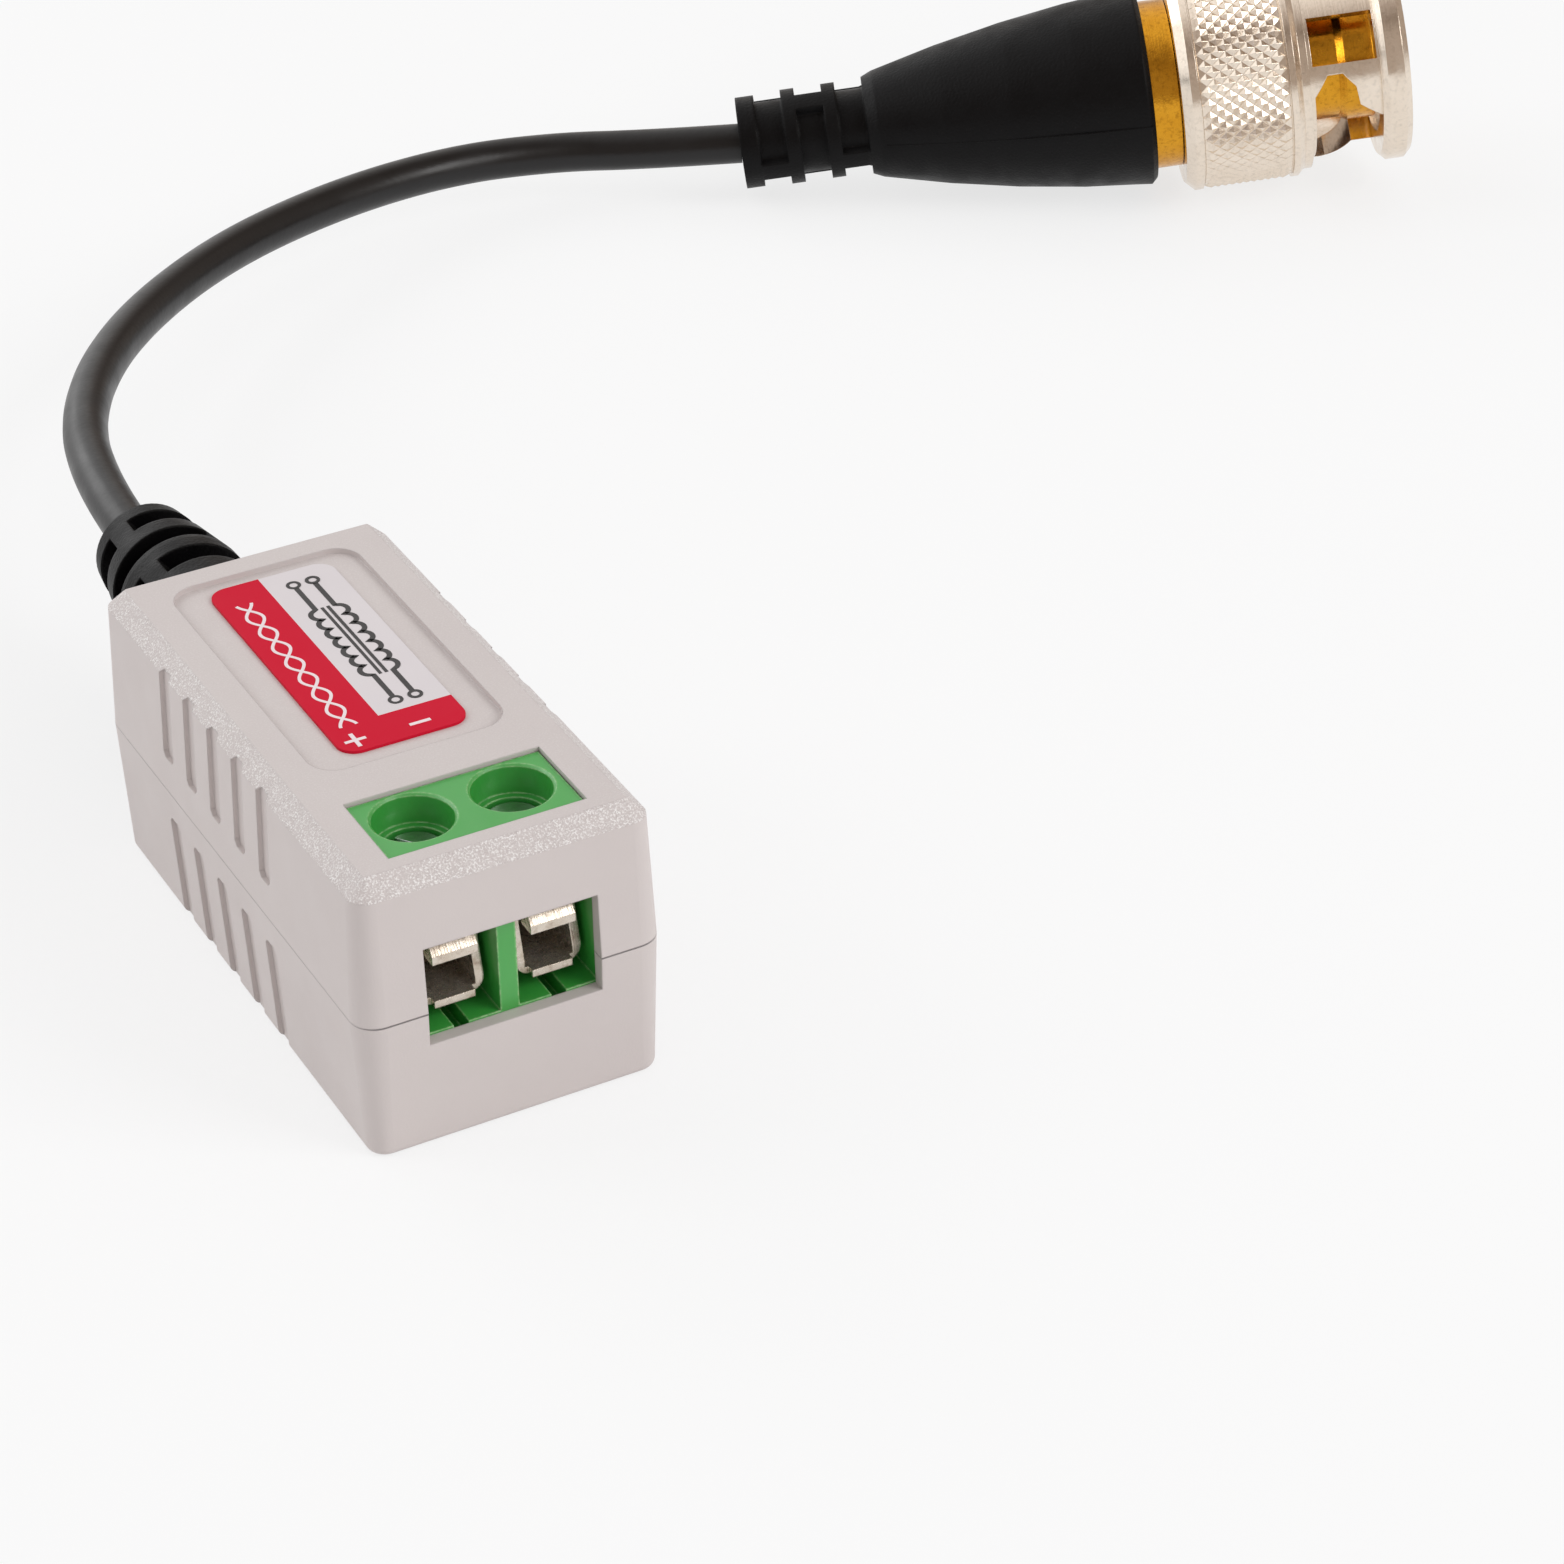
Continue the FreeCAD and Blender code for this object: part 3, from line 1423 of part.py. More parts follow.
def export_parts():
    """Write each sub-part to its own STEP file."""
    os.makedirs("parts", exist_ok=True)
    for piece in parts:
        piece.Shape.exportStep(f"parts/{piece.Label}.step")
        box = piece.Shape.BoundBox
        print(f"{piece.Label}: {len(piece.Shape.Solids)} solid, {piece.Shape.Volume:.2f} mm3, "
              f"z {box.ZMin:.2f} to {box.ZMax:.2f}")


make_lower_shell()
make_upper_shell()
make_label()
make_terminal_housing()
for pole, place in pole_places.items():
    make_contact(pole, place)
    make_cage(pole, place)
    make_screw(pole, place)
make_circuit_board()
make_ferrite_core()
make_winding("primary", 30)
make_winding("secondary", 210)
make_surge_diode()
make_chip_capacitor()
make_lead_ends()
make_case_strain_relief()
make_tube("cable", CABLE_ROUTE, D.cable_diameter / 2)
make_plug_boot()
make_plug_body()
make_plug_insulator()
make_centre_pin()
make_coupling_nut()
make_wave_spring()
make_thrust_washer()
make_retaining_ring()
make_gasket()
doc.recompute()
check_document()
export_parts()
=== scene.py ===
"""Studio scene of a passive video balun.

A small grey moulded case holds a green two-pole screw terminal and carries a printed label. A
short black coaxial lead leaves it through a slotted strain relief and ends in a moulded boot
with a bayonet plug of nickel and gold plate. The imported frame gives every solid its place, and
this file gives each one its surface and adds the fine forms that the solids leave out.
"""

import logging
import math
from dataclasses import dataclass
from enum import Enum

import bmesh
import bpy
from mathutils import Matrix, Vector

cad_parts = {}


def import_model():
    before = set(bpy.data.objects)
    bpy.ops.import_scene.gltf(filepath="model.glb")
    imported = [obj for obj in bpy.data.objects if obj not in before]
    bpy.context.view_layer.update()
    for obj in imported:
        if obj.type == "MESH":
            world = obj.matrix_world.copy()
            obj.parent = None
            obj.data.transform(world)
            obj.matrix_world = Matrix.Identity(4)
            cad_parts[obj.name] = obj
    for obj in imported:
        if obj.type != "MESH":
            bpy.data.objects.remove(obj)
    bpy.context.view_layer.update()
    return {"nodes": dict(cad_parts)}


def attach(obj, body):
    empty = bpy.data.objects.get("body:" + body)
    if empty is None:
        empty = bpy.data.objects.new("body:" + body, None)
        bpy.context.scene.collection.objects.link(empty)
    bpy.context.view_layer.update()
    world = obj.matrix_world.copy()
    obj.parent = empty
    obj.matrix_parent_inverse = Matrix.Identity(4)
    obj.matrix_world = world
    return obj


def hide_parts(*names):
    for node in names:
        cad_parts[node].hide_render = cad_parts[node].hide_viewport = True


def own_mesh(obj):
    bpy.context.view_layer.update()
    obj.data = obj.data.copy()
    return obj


LOG = logging.getLogger("video_balun")
MM = 0.001

Tree = bpy.types.NodeTree
Node = bpy.types.Node
Socket = bpy.types.NodeSocket
Material = bpy.types.Material
Piece = bpy.types.Object
Line = list[tuple[float, float]]

# The line the plug lies on, from the boot's cable end to the bayonet mouth
PLUG_START = Vector((56.43, 67.75, 3.78)) * MM
PLUG_WAY = Vector((0.8944, -0.4314, 0.1181)).normalized()
PLUG_SIDE = Vector((0.4314, 0.8944, 0.0)).normalized()
PLUG_UP = PLUG_WAY.cross(PLUG_SIDE).normalized()


class Slot(Enum):
    """The finish slots that the record gives to the object's surfaces."""

    CASE = "case_plastic"
    LABEL = "label_film"
    TERMINAL = "terminal_plastic"
    STRIP = "tinned_strip"
    SCREW = "screw_steel"
    BOARD = "board"
    CORE = "ferrite"
    WINDING = "enamelled_wire"
    COMPONENT = "component_black"
    CERAMIC = "component_tan"
    COPPER = "copper"
    MOULDING = "black_moulding"
    JACKET = "cable_jacket"
    GOLD = "gold"
    INSULATOR = "insulator"
    NICKEL = "nickel"
    SPRING = "spring_steel"
    GASKET = "gasket_rubber"


class MarkAxis(Enum):
    """The direction across which a tool left its fine lines."""

    PLUG = tuple(PLUG_WAY)
    UPRIGHT = (0.0, 0.0, 1.0)
    ACROSS = (1.0, 0.0, 0.0)


def linear(colour: str) -> tuple[float, float, float, float]:
    """Turns an sRGB hex colour into linear values for a shader.

    Args:
        colour: Six hex digits after a hash sign.

    Returns:
        Red, green and blue in linear light, and an alpha of one.
    """
    values = [int(colour[place : place + 2], 16) / 255 for place in (1, 3, 5)]
    red, green, blue = (v / 12.92 if v <= 0.04045 else ((v + 0.055) / 1.055) ** 2.4 for v in values)
    return red, green, blue, 1.0


def add_node(
    tree: Tree,
    kind: str,
    settings: dict[str | int, object] | None = None,
    links: dict[str | int, Node | Socket] | None = None,
) -> Node:
    """Adds one shader node with its settings and links.

    Args:
        tree: The node tree that gets the node.
        kind: The node's type without the word ShaderNode.
        settings: Values of its properties, or of its inputs by name or number.
        links: What feeds its inputs, by name or number: a socket, or a node for its first output.

    Returns:
        The new node.
    """
    node = tree.nodes.new("ShaderNode" + kind)
    for name, value in (settings or {}).items():
        if isinstance(name, int) or name in node.inputs:
            node.inputs[name].default_value = value
        else:
            setattr(node, name, value)
    for name, source in (links or {}).items():
        socket = source if isinstance(source, Socket) else source.outputs[0]
        tree.links.new(socket, node.inputs[name])
    return node


def share_of(tree: Tree, *ranges: tuple[Node | Socket, dict[str, float]]) -> Socket:
    """Maps each pattern to its range and multiplies the results into one share.

    Args:
        tree: The node tree that gets the nodes.
        ranges: Each pattern with the settings of its range.

    Returns:
        The share socket.
    """
    parts = [add_node(tree, "MapRange", limits, {"Value": pattern}) for pattern, limits in ranges]
    share = parts[0]
    for part in parts[1:]:
        share = add_node(tree, "Math", {"operation": "MULTIPLY"}, {0: share, 1: part})
    return share.outputs[0]


@dataclass(frozen=True)
class Finish:
    """A material and how its surface was made, with the values that both give the eye.

    Attributes:
        name: The material's common name and the process.
        colour: Main colour, sRGB hex.
        shade: The colour of its slow, cloudy change.
        roughness: Mean roughness of the surface.
        spread: How much the roughness changes, as a share of the mean.
        metallic: One for a metal.
        ior: Index of refraction, for what isn't a metal.
        shine: Strength of the plain reflection, half for common plastics.
        coat: Weight of a clear coat.
        glow: Weight of light that goes through the material.
        cloud_mm: Size of the cloudy change.
        grain_mm: Width of the surface grain.
        grain_depth_mm: Depth of that grain.
        edge_mm: Radius of the edge that the light sees.
    """

    name: str
    colour: str
    shade: str
    roughness: float
    spread: float = 0.12
    metallic: float = 0.0
    ior: float = 1.5
    shine: float = 0.5
    coat: float = 0.0
    glow: float = 0.0
    cloud_mm: float = 6.0
    grain_mm: float = 0.15
    grain_depth_mm: float = 0.006
    edge_mm: float = 0.08

    def build(self) -> Material:
        """Makes the material.

        Returns:
            The material, with every pattern placed by the object's own millimetres.
        """
        material = bpy.data.materials.new(self.name)
        material.use_nodes = True
        material.diffuse_color = linear(self.colour)
        tree = material.node_tree
        shader = tree.nodes["Principled BSDF"]
        for name, value in (
            ("Metallic", self.metallic),
            ("IOR", self.ior),
            ("Specular IOR Level", self.shine),
            ("Coat Weight", self.coat),
            ("Subsurface Weight", self.glow),
            ("Subsurface Scale", MM),
        ):
            shader.inputs[name].default_value = value
        origin = add_node(tree, "TexCoord").outputs["Object"]
        settings = {"operation": "SCALE", "Scale": 1 / MM}
        place = add_node(tree, "VectorMath", settings, {"Vector": origin}).outputs[0]
        rounded = add_node(tree, "Bevel", {"samples": 6, "Radius": self.edge_mm * MM})
        bump = add_node(
            tree,
            "Bump",
            {"Strength": 1.0, "Distance": self.grain_depth_mm * MM},
            {"Height": self.relief(tree, place), "Normal": rounded},
        )
        tree.links.new(self.paint(tree, place), shader.inputs["Base Color"])
        tree.links.new(self.gloss(tree, place), shader.inputs["Roughness"])
        tree.links.new(bump.outputs[0], shader.inputs["Normal"])
        return material

    def paint(self, tree: Tree, place: Socket) -> Socket:
        """Gives the colour at each place: the cloudy ground with the finish's marks over it.

        Args:
            tree: The material's node tree.
            place: The place on the object in millimetres.

        Returns:
            The colour socket.
        """
        settings = {"Scale": 1 / self.cloud_mm, "Detail": 3.0}
        clouds = add_node(tree, "TexNoise", settings, {"Vector": place})
        settings = {"data_type": "RGBA", 6: linear(self.colour), 7: linear(self.shade)}
        colour = add_node(tree, "Mix", settings, {0: clouds}).outputs[2]
        for share, tint in self.marks(tree, place):
            settings = {"data_type": "RGBA", 7: linear(tint)}
            colour = add_node(tree, "Mix", settings, {0: share, 6: colour}).outputs[2]
        return colour

    def marks(self, tree: Tree, place: Socket) -> list[tuple[Socket, str]]:
        """Gives where each mark shows and its colour, the lowest first. A plain finish has none."""
        return []

    def gloss(self, tree: Tree, place: Socket) -> Socket:
        """Gives the roughness at each place.

        Args:
            tree: The material's node tree.
            place: The place on the object in millimetres.

        Returns:
            The roughness socket.
        """
        settings = {"Scale": 2.5 / self.cloud_mm, "Detail": 4.0}
        patches = add_node(tree, "TexNoise", settings, {"Vector": place})
        low, high = (self.roughness * (1 + way * self.spread) for way in (-1, 1))
        limits = {"From Min": 0.3, "From Max": 0.7, "To Min": low, "To Max": high}
        return add_node(tree, "MapRange", limits, {"Value": patches}).outputs[0]

    def relief(self, tree: Tree, place: Socket) -> Socket:
        """Gives the height of the surface grain with the finish's forms added.

        Args:
            tree: The material's node tree.
            place: The place on the object in millimetres.

        Returns:
            The height socket, from zero to about one for the grain alone.
        """
        settings = {"Scale": 1 / self.grain_mm, "Detail": 2.0}
        height = add_node(tree, "TexNoise", settings, {"Vector": place})
        for form, depth in self.forms(tree, place):
            settings = {"operation": "MULTIPLY_ADD", 1: depth}
            height = add_node(tree, "Math", settings, {0: form, 2: height})
        return height.outputs[0]

    def forms(self, tree: Tree, place: Socket) -> list[tuple[Socket, float]]:
        """Gives each form's height and its depth against the grain. A plain finish has none."""
        return []


@dataclass(frozen=True)
class ErodedCase(Finish):
    """Grey moulding from a spark-eroded mould, coarser on its top bevels, with a fine seam.

    Attributes:
        bevel_low_mm: Height where the top bevels start.
        level_share: How much of the coarse texture the level faces have.
        coarse_mm: Width of the coarse texture's pits.
        patch_mm: Size of the patches in which that texture comes and goes.
        seam_mm: Height of the seam between the two halves.
        seam_width_mm: Width of that seam.
        seam_tight: How much of the seam shows along the sides, where it is tight.
        glint: Colour of the painted highlight on the lit edges of the pits.
        glint_range: Pattern values where that painted highlight starts and is full.
        painted_pit_shade: Colour of the painted shade inside the pits.
        pit_shade_range: Pattern values where that painted shade starts and is full.
        coarse_lift: Height of the coarse texture against the fine grain.
        seam_colour: Colour inside the seam.
        seam_drop: Depth of the seam against the fine grain.
    """

    bevel_low_mm: float = 14.3
    level_share: float = 0.14
    coarse_mm: float = 0.09
    patch_mm: float = 0.8
    seam_mm: float = 7.7
    seam_width_mm: float = 0.07
    seam_tight: float = 0.3
    glint: str = "#F6F2F0"
    glint_range: tuple[float, float] = (0.51, 0.64)
    painted_pit_shade: str = "#C6BBB9"
    pit_shade_range: tuple[float, float] = (0.44, 0.3)
    coarse_lift: float = 9.0
    seam_colour: str = "#8F8687"
    seam_drop: float = 6.0

    def height(self, tree: Tree, place: Socket) -> Socket:
        """Gives the height above the table in millimetres."""
        return add_node(tree, "SeparateXYZ", links={0: place}).outputs[2]

    def slope(self, tree: Tree, axis: int) -> Socket:
        """Gives one part of the surface's own direction, on the object's axes."""
        facing = add_node(tree, "TexCoord").outputs["Normal"]
        return add_node(tree, "SeparateXYZ", links={0: facing}).outputs[axis]

    def coarse_share(self, tree: Tree, place: Socket) -> Socket:
        """Gives how coarse the texture is: full in patches on the bevels, faint on level faces.

        Args:
            tree: The material's node tree.
            place: The place on the object in millimetres.

        Returns:
            The share socket.
        """
        upward = self.slope(tree, 2)
        settings = {"Scale": 1 / self.patch_mm, "Detail": 2.0}
        clouds = add_node(tree, "TexNoise", settings, {"Vector": place})
        bevel = {"From Min": self.bevel_low_mm, "From Max": self.bevel_low_mm + 0.2}
        level = {"From Min": 0.9, "From Max": 0.985, "To Min": 1.0, "To Max": self.level_share}
        return share_of(
            tree,
            (self.height(tree, place), bevel),
            (upward, {"From Min": 0.15, "From Max": 0.35}),
            (upward, level),
            (clouds, {"From Min": 0.35, "From Max": 0.6, "To Min": 0.7}),
        )

    def seam(self, tree: Tree, place: Socket) -> Socket:
        """Gives one inside the seam, less along the sides where it is tight, and zero elsewhere.

        Args:
            tree: The material's node tree.
            place: The place on the object in millimetres.

        Returns:
            The share socket.
        """
        height = self.height(tree, place)
        away = add_node(tree, "Math", {"operation": "SUBTRACT", 1: self.seam_mm}, {0: height})
        distance = add_node(tree, "Math", {"operation": "ABSOLUTE"}, {0: away})
        across = add_node(tree, "Math", {"operation": "ABSOLUTE"}, {0: self.slope(tree, 0)})
        line = {"From Max": self.seam_width_mm, "To Min": 1.0, "To Max": 0.0}
        tight = {"From Min": 0.3, "From Max": 0.9, "To Min": 1.0, "To Max": self.seam_tight}
        return share_of(tree, (distance, line), (across, tight))

    def pits(self, tree: Tree, place: Socket) -> Socket:
        """Gives the pitted pattern that the mould's spark erosion leaves."""
        # Drawn a little coarser than the mould leaves them, so that the render shows them
        settings = {"Scale": 1 / self.coarse_mm, "Detail": 2.0, "Roughness": 0.6}
        return add_node(tree, "TexNoise", settings, {"Vector": place}).outputs[0]

    def marks(self, tree: Tree, place: Socket) -> list[tuple[Socket, str]]:
        """Gives the pits' painted shade and painted highlights where the texture is coarse, and the
        dark seam.

        Args:
            tree: The material's node tree.
            place: The place on the object in millimetres.

        Returns:
            Where each mark shows and its colour.
        """
        coarse, pits = self.coarse_share(tree, place), self.pits(tree, place)
        marks = []
        # The pits' darker colour is painted shade, and the glint is a painted highlight on their
        # edges
        kinds = ((self.pit_shade_range, self.painted_pit_shade), (self.glint_range, self.glint))
        for (start, full), tint in kinds:
            spots = share_of(tree, (pits, {"From Min": start, "From Max": full}))
            share = add_node(tree, "Math", {"operation": "MULTIPLY"}, {0: spots, 1: coarse})
            marks.append((share.outputs[0], tint))
        return [*marks, (self.seam(tree, place), self.seam_colour)]

    def forms(self, tree: Tree, place: Socket) -> list[tuple[Socket, float]]:
        """Gives the coarse pits and the groove of the seam.

        Args:
            tree: The material's node tree.
            place: The place on the object in millimetres.

        Returns:
            Each form's height and its depth against the grain.
        """
        links = {0: self.pits(tree, place), 1: self.coarse_share(tree, place)}
        coarse = add_node(tree, "Math", {"operation": "MULTIPLY"}, links)
        return [(coarse.outputs[0], self.coarse_lift), (self.seam(tree, place), -self.seam_drop)]


@dataclass(frozen=True)
class PrintedFilm(Finish):
    """White vinyl label with a red field screen-printed along one side and across one end.

    Attributes:
        ink: Colour of the printed field.
        field_left_mm: Where the white field starts, across the case.
        field_front_mm: Where the white field starts, along the case.
    """

    ink: str = "#CF1733"
    field_left_mm: float = -0.35
    field_front_mm: float = -2.25

    def marks(self, tree: Tree, place: Socket) -> list[tuple[Socket, str]]:
        """Gives the red field, which lies to the left of the white one and in front of it.

        Args:
            tree: The material's node tree.
            place: The place on the object in millimetres.

        Returns:
            Where the field shows and its colour.
        """
        split = add_node(tree, "SeparateXYZ", links={0: place}).outputs
        sides = [
            add_node(tree, "Math", {"operation": "LESS_THAN", 1: edge}, {0: split[axis]})
            for axis, edge in enumerate((self.field_left_mm, self.field_front_mm))
        ]
        field = add_node(tree, "Math", {"operation": "MAXIMUM"}, dict(enumerate(sides)))
        return [(field.outputs[0], self.ink)]


@dataclass(frozen=True)
class BurrAndHighlightMoulding(Finish):
    """Moulded plastic whose sharp edges carry a thin, paler band, partly a burr and partly a
    painted highlight.

    Attributes:
        burr_and_highlight: Colour of the paler edge, a burr with a painted highlight.
        burr_and_highlight_mm: Width of the edge that shows it.
        burr_and_highlight_share: How strong it is at most.
        ragged_mm: Size of the patches in which it comes and goes.
    """

    burr_and_highlight: str = "#A6D094"
    burr_and_highlight_mm: float = 0.17
    burr_and_highlight_share: float = 0.85
    ragged_mm: float = 0.25

    def marks(self, tree: Tree, place: Socket) -> list[tuple[Socket, str]]:
        """Gives the paler edge, burr and painted highlight, where the rounded and the true
        direction of the surface part.

        Args:
            tree: The material's node tree.
            place: The place on the object in millimetres.

        Returns:
            Where the burr shows and its colour.
        """
        rounded = add_node(tree, "Bevel", {"samples": 6, "Radius": self.burr_and_highlight_mm * MM})
        true = add_node(tree, "NewGeometry").outputs["True Normal"]
        match = add_node(tree, "VectorMath", {"operation": "DOT_PRODUCT"}, {0: rounded, 1: true})
        settings = {"Scale": 1 / self.ragged_mm, "Detail": 2.0}
        ragged = add_node(tree, "TexNoise", settings, {"Vector": place})
        # Paler colour on the sharp edges: partly a burr, partly a painted highlight
        edges = {"From Min": 0.985, "From Max": 0.93, "To Max": self.burr_and_highlight_share}
        ragged_range = {"From Min": 0.35, "From Max": 0.6, "To Min": 0.2}
        share = share_of(tree, (match.outputs["Value"], edges), (ragged, ragged_range))
        return [(share, self.burr_and_highlight)]


@dataclass(frozen=True)
class WorkedMetal(Finish):
    """Metal with fine parallel lines from turning, rolling or drawing, and a few dull spots.

    Attributes:
        axis: The direction across the lines.
        line_mm: Distance between lines.
        line_depth: Height of the lines against the grain.
        tarnish: Colour of the dull spots.
        tarnish_mm: Size of those spots.
        tarnish_share: How strong they are.
    """

    metallic: float = 1.0
    axis: MarkAxis = MarkAxis.PLUG
    line_mm: float = 0.12
    line_depth: float = 0.6
    tarnish: str = "#6E5C49"
    tarnish_mm: float = 0.3
    tarnish_share: float = 0.15

    def marks(self, tree: Tree, place: Socket) -> list[tuple[Socket, str]]:
        """Gives the dull, darker spots of handled plate.

        Args:
            tree: The material's node tree.
            place: The place on the object in millimetres.

        Returns:
            Where the spots show and their colour.
        """
        settings = {"Scale": 1 / self.tarnish_mm, "Detail": 3.0, "Roughness": 0.6}
        clouds = add_node(tree, "TexNoise", settings, {"Vector": place})
        limits = {"From Min": 0.5, "From Max": 0.72, "To Max": self.tarnish_share}
        return [(share_of(tree, (clouds, limits)), self.tarnish)]

    def forms(self, tree: Tree, place: Socket) -> list[tuple[Socket, float]]:
        """Gives the tool's lines.

        Args:
            tree: The material's node tree.
            place: The place on the object in millimetres.

        Returns:
            The lines' height and their depth against the grain.
        """
        # Drawn further apart than a tool leaves them, so that the render shows them
        settings = {"operation": "DOT_PRODUCT", 1: self.axis.value}
        along = add_node(tree, "VectorMath", settings, {0: place})
        settings = {"noise_dimensions": "1D", "Scale": 1 / self.line_mm, "Detail": 2.0}
        lines = add_node(tree, "TexNoise", settings, {"W": along.outputs["Value"]})
        return [(lines.outputs[0], self.line_depth)]


@dataclass(frozen=True)
class WovenLaminate(Finish):
    """Glass cloth pressed in epoxy, whose weave shows through the green mask.

    Attributes:
        thread_mm: Distance between the cloth's threads.
    """

    thread_mm: float = 0.4

    def relief(self, tree: Tree, place: Socket) -> Socket:
        """Gives the weave of the glass cloth."""
        settings = {"Scale": 1 / self.thread_mm}
        return add_node(tree, "TexChecker", settings, {"Vector": place}).outputs[1]


FINISHES: dict[Slot, Finish] = {
    # Moulded ABS: even pale grey with a warm tint, and a soft, broad shine
    Slot.CASE: ErodedCase(
        name="abs_grey_spark_eroded_moulding", colour="#D1C8C5", shade="#CCC2C0", roughness=0.46,
        ior=1.54, grain_mm=0.12, grain_depth_mm=0.006, edge_mm=0.12,
    ),
    # Vinyl film under ink: smooth with a satin shine and a clean cut edge
    Slot.LABEL: PrintedFilm(
        name="vinyl_label_screen_printed", colour="#E2DBDC", shade="#DCD4D6", roughness=0.4,
        shine=0.06, grain_mm=0.5, grain_depth_mm=0.002, edge_mm=0.04,
    ),
    # Moulded PBT: saturated green that takes some light in, with a satin shine
    Slot.TERMINAL: BurrAndHighlightMoulding(
        name="pbt_green_moulding", colour="#3DA442", shade="#349A3A", roughness=0.42, ior=1.57,
        shine=0.8, glow=0.08, cloud_mm=3.0, grain_mm=0.2, grain_depth_mm=0.003, edge_mm=0.1,
    ),
    # Nickel on stamped strip: bright and slightly warm, with faint lines from rolling
    Slot.STRIP: WorkedMetal(
        name="steel_strip_nickel_plated", colour="#E6DED4", shade="#C2B29E", roughness=0.24,
        spread=0.35, metallic=0.8, cloud_mm=0.9, grain_mm=0.25, grain_depth_mm=0.005,
        axis=MarkAxis.ACROSS, line_mm=0.1, line_depth=0.8, tarnish="#7A5A3C", tarnish_mm=0.5,
        tarnish_share=0.5,
    ),
    # Zinc on a turned steel screw: cooler than nickel, with fine lines across its head
    Slot.SCREW: WorkedMetal(
        name="steel_screw_zinc_plated", colour="#DADDDF", shade="#BCC0C2", roughness=0.18,
        spread=0.25, cloud_mm=1.0, grain_mm=0.15, grain_depth_mm=0.004, axis=MarkAxis.ACROSS,
    ),
    # Glass-epoxy laminate under a green mask: the cloth's weave shows as a fine check
    Slot.BOARD: WovenLaminate(
        name="glass_epoxy_laminate_masked", colour="#1F6B3A", shade="#195C31", roughness=0.3,
        coat=0.4, grain_depth_mm=0.006,
    ),
    # Painted sintered ferrite: dark and matte with a pebbly skin
    Slot.CORE: Finish(
        name="ferrite_sintered_painted", colour="#3B4A45", shade="#2F3B37", roughness=0.62,
        grain_mm=0.25, grain_depth_mm=0.02,
    ),
    # Enamelled copper: bright copper under a clear amber coat
    Slot.WINDING: WorkedMetal(
        name="copper_wire_enamelled", colour="#B4602F", shade="#9A4A22", roughness=0.25, coat=0.8,
        axis=MarkAxis.UPRIGHT, line_mm=0.3, line_depth=0.3,
    ),
    # Epoxy moulding compound: near black, dry and faintly grainy
    Slot.COMPONENT: Finish(
        name="epoxy_compound_moulded", colour="#232325", shade="#1B1B1D", roughness=0.55,
        grain_mm=0.1, grain_depth_mm=0.006,
    ),
    # Sintered ceramic body: pale tan and dense, with a dull shine
    Slot.CERAMIC: Finish(
        name="ceramic_sintered_chip", colour="#B08A5E", shade="#A07B50", roughness=0.42,
        cloud_mm=0.8, grain_mm=0.08, grain_depth_mm=0.004,
    ),
    # Drawn copper, stripped and handled: warm metal with lines along the wire
    Slot.COPPER: WorkedMetal(
        name="copper_wire_bare_drawn", colour="#C98257", shade="#A9633D", roughness=0.3, spread=0.3,
        cloud_mm=1.5, axis=MarkAxis.UPRIGHT, line_mm=0.1,
    ),
    # Soft PVC moulded over the lead: black, with the mould's dry grain catching the light
    Slot.MOULDING: Finish(
        name="pvc_black_overmoulded", colour="#080708", shade="#050405", roughness=0.45,
        spread=0.18, ior=1.53, shine=0.13, cloud_mm=4.0, grain_mm=0.16, grain_depth_mm=0.03,
        edge_mm=0.2,
    ),
    # Extruded PVC: black and smoother than the moulding, with long soft highlights
    Slot.JACKET: Finish(
        name="pvc_black_extruded", colour="#0D0A0B", shade="#080607", roughness=0.36, spread=0.15,
        ior=1.53, shine=0.4, cloud_mm=5.0, grain_mm=0.35, grain_depth_mm=0.01, edge_mm=0.05,
    ),
    # Gold over turned brass: deep yellow, bright, with fine turning rings
    Slot.GOLD: WorkedMetal(
        name="brass_gold_plated", colour="#E5A733", shade="#C98A22", roughness=0.24, spread=0.3,
        cloud_mm=1.5, grain_mm=0.12, grain_depth_mm=0.009, axis=MarkAxis.PLUG, line_mm=0.14,
        tarnish="#7A4A10", tarnish_share=0.45,
    ),
    # Natural moulded plastic: milky tan that lets light in a little
    Slot.INSULATOR: Finish(
        name="polypropylene_natural_moulding", colour="#B07F63", shade="#9C6A4C", roughness=0.3,
        ior=1.49, glow=0.35, cloud_mm=3.0, grain_depth_mm=0.003,
    ),
    # Nickel over turned brass: bright, warm white, with turning rings and dull handled spots
    Slot.NICKEL: WorkedMetal(
        name="brass_nickel_plated", colour="#F2E6D8", shade="#E3D4C2", roughness=0.2, spread=0.35,
        cloud_mm=2.5, grain_mm=0.2, grain_depth_mm=0.004, edge_mm=0.05, axis=MarkAxis.PLUG,
        line_mm=0.16, line_depth=0.9,
    ),
    # Rolled spring steel: dark, smooth and slightly blue
    Slot.SPRING: WorkedMetal(
        name="spring_steel_rolled", colour="#9A9CA0", shade="#85878C", roughness=0.26, cloud_mm=2.0,
        axis=MarkAxis.PLUG,
    ),
    # Moulded silicone: dull translucent red-brown ring
    Slot.GASKET: Finish(
        name="silicone_rubber_moulded", colour="#8E4A36", shade="#7D3E2C", roughness=0.55, glow=0.2,
        cloud_mm=2.0, grain_depth_mm=0.004,
    ),
}

